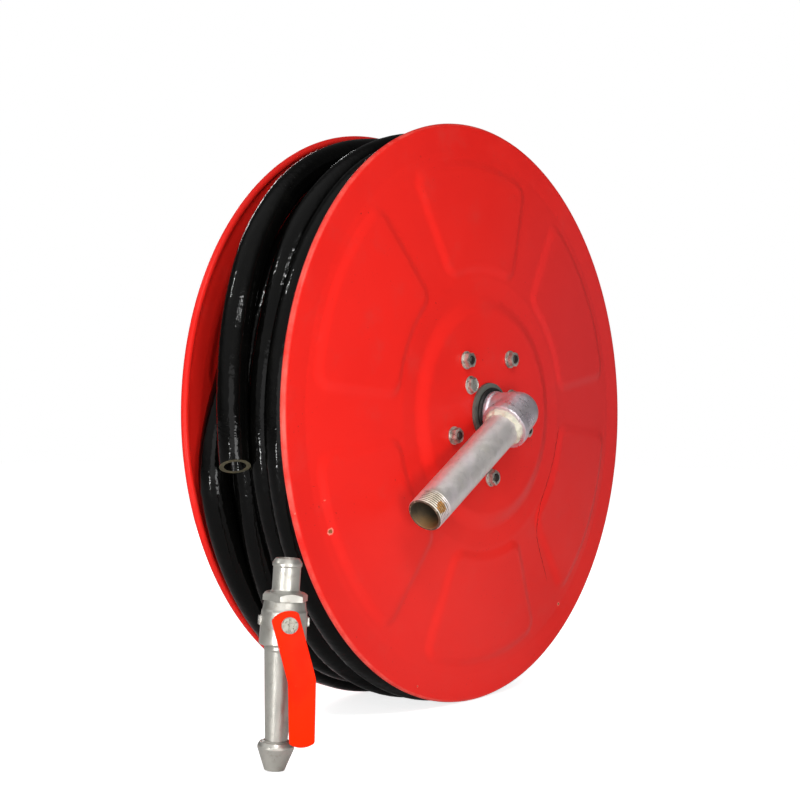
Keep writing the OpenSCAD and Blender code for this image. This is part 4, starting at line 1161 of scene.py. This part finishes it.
def lever_outline():
    """The cranked strap in its own plane, with its pivot at the origin."""
    (up, right), (down, left) = ways(LEVER_LEAN), ways(LEVER_LOW_LEAN)
    bend = -LEVER_BEND_ASIDE * right - LEVER_BEND_DOWN * up
    half_crank = math.radians(LEVER_LOW_LEAN - LEVER_LEAN - 180.0) / 2
    crook = unit(left - right) * LEVER_HALF / math.cos(half_crank)

    def end(way, side, length, half):
        middle = bend + (length - LEVER_END_R) * way
        widest = math.asin(half / LEVER_END_R)
        return [middle + LEVER_END_R * (math.sin(a) * side + math.cos(a) * way)
                for a in np.linspace(widest, -widest, 7)]

    end_radii = [LEVER_CORNER_R] + [LEVER_END_R] * 5 + [LEVER_CORNER_R]
    corners = [bend - LEVER_HALF * left, bend + LEVER_HALF * right]
    corners += end(up, right, LEVER_UP_LEN, LEVER_HALF) + [bend + crook]
    corners += end(down, left, LEVER_DOWN_LEN, LEVER_END_HALF)
    radii = [LEVER_BEND_R] * 2 + end_radii + [LEVER_BEND_R] + end_radii
    return rounded(corners, radii, steps=4)


def plate_mesh(outline, thick, edge):
    """A flat plate with its edges rounded."""
    ring = np.array(outline)
    along = np.roll(ring, -1, axis=0) - np.roll(ring, 1, axis=0)
    along /= np.linalg.norm(along, axis=1)[:, None]
    inward = np.stack([-along[:, 1], along[:, 0]], axis=1)
    steps = [math.radians(a) for a in (0, 22.5, 45, 67.5, 90)]
    rows = [(edge * (1 - math.sin(a)), edge * (1 - math.cos(a))) for a in steps]
    rows += [(inset, thick - z) for inset, z in rows[::-1]]
    points = [(x, y, z) for inset, z in rows for x, y in ring + inset * inward]
    return capped(points, len(ring))


# Lever plane: x and y of the plate lie along y and z of the nozzle
LEVER = NOZZLE @ shift(LEVER_X, 0, BALL_Z) @ turn(90, "Z") @ turn(90, "X")
stand_in("lever_strap", plate_mesh(lever_outline(), LEVER_T, 0.9), "lever", LEVER, sharp=60.0)

# ---------------- stage and light


def make_floor():
    """A floor that is white to the camera, and pale and lit to everything else."""
    look = Look("floor", (0.80, 0.80, 0.80), 0.9, Specular_IOR_Level=0.0,
                Emission_Color=(1.0, 1.0, 1.0, 1.0))
    seen = look.new("LightPath").outputs["Is Camera Ray"]
    look.set("Emission Strength", look.math("MULTIPLY", seen, 0.80, clamp=False))
    bpy.ops.mesh.primitive_plane_add(size=12.0, location=(0.1, 0.1, FLOOR_Z - 0.0008))
    floor = bpy.context.object
    floor.name = "floor"
    floor.data.materials.append(look.material)


def make_world(strength, low, high, bright_way):
    """White to the camera, plain to matt surfaces, and brighter one way to glossy ones."""
    world = bpy.data.worlds.new("studio")
    world.use_nodes = True
    tree = world.node_tree
    background = tree.nodes["Background"]
    feed(background.inputs["Color"], (1.0, 1.0, 1.0, 1.0))
    path = add_node(tree, "LightPath")
    toward = add_node(tree, "VectorMath")
    toward.operation = "DOT_PRODUCT"
    feed(toward.inputs[0], add_node(tree, "TexCoord").outputs["Generated"])
    feed(toward.inputs[1], bright_way)
    patch = add_node(tree, "MapRange", Value=toward.outputs["Value"], From_Min=0.3, From_Max=0.9,
                     To_Min=low, To_Max=high)
    patch.interpolation_type = "SMOOTHSTEP"
    for ray, value in (("Is Glossy Ray", patch.outputs["Result"]), ("Is Camera Ray", 1.0),
                       ("Is Transmission Ray", 1.0)):
        choice = add_node(tree, "Mix", Factor=path.outputs[ray], A=strength, B=value)
        strength = choice.outputs["Result"]
    feed(background.inputs["Strength"], strength)
    bpy.context.scene.world = world


def seen_from_camera(right, up, back):
    """A direction given along the picture's right and up and back to the camera."""
    turned = bpy.context.scene.camera.rotation_euler.to_matrix()
    return (turned @ Vector((right, up, back))).normalized()


def make_lamp(name, away, size, power):
    """A soft lamp that shines at the spindle from a place given from there, in metres."""
    data = bpy.data.lights.new(name, "AREA")
    data.shape = "RECTANGLE"
    data.size, data.size_y = size
    data.energy = power
    lamp = placed(name, data)
    lamp.visible_camera = False
    lamp.location = AXIS + away
    lamp.rotation_euler = (AXIS - lamp.location).to_track_quat("-Z", "Y").to_euler()


make_floor()
make_world(0.36, 0.07, 0.92, seen_from_camera(-0.30, 0.75, 0.60))
make_lamp("key", Vector((-0.72, -0.86, -0.20)), (0.3, 0.3), 4.2)
for number, aside in enumerate((0.0, 0.18, 0.36)):
    make_lamp("flash_" + str(number), seen_from_camera(aside, 0.62, 0.75) * 2.2, (0.07, 0.12), 4.5)
make_lamp("window", seen_from_camera(-0.52, -0.17, 0.82) * 1.2, (0.050, 0.086), 2.4)
make_lamp("back", Vector((1.1, 2.0, 0.7)), (1.0, 1.0), 16.0)
make_lamp("edge", seen_from_camera(-0.78, 0.60, 0.10) * 2.0, (0.06, 0.06), 3.4)
make_lamp("front", seen_from_camera(-0.15, 0.05, 0.98) * 1.5, (0.9, 0.9), 5.0)

bpy.context.scene.view_settings.view_transform = "Standard"
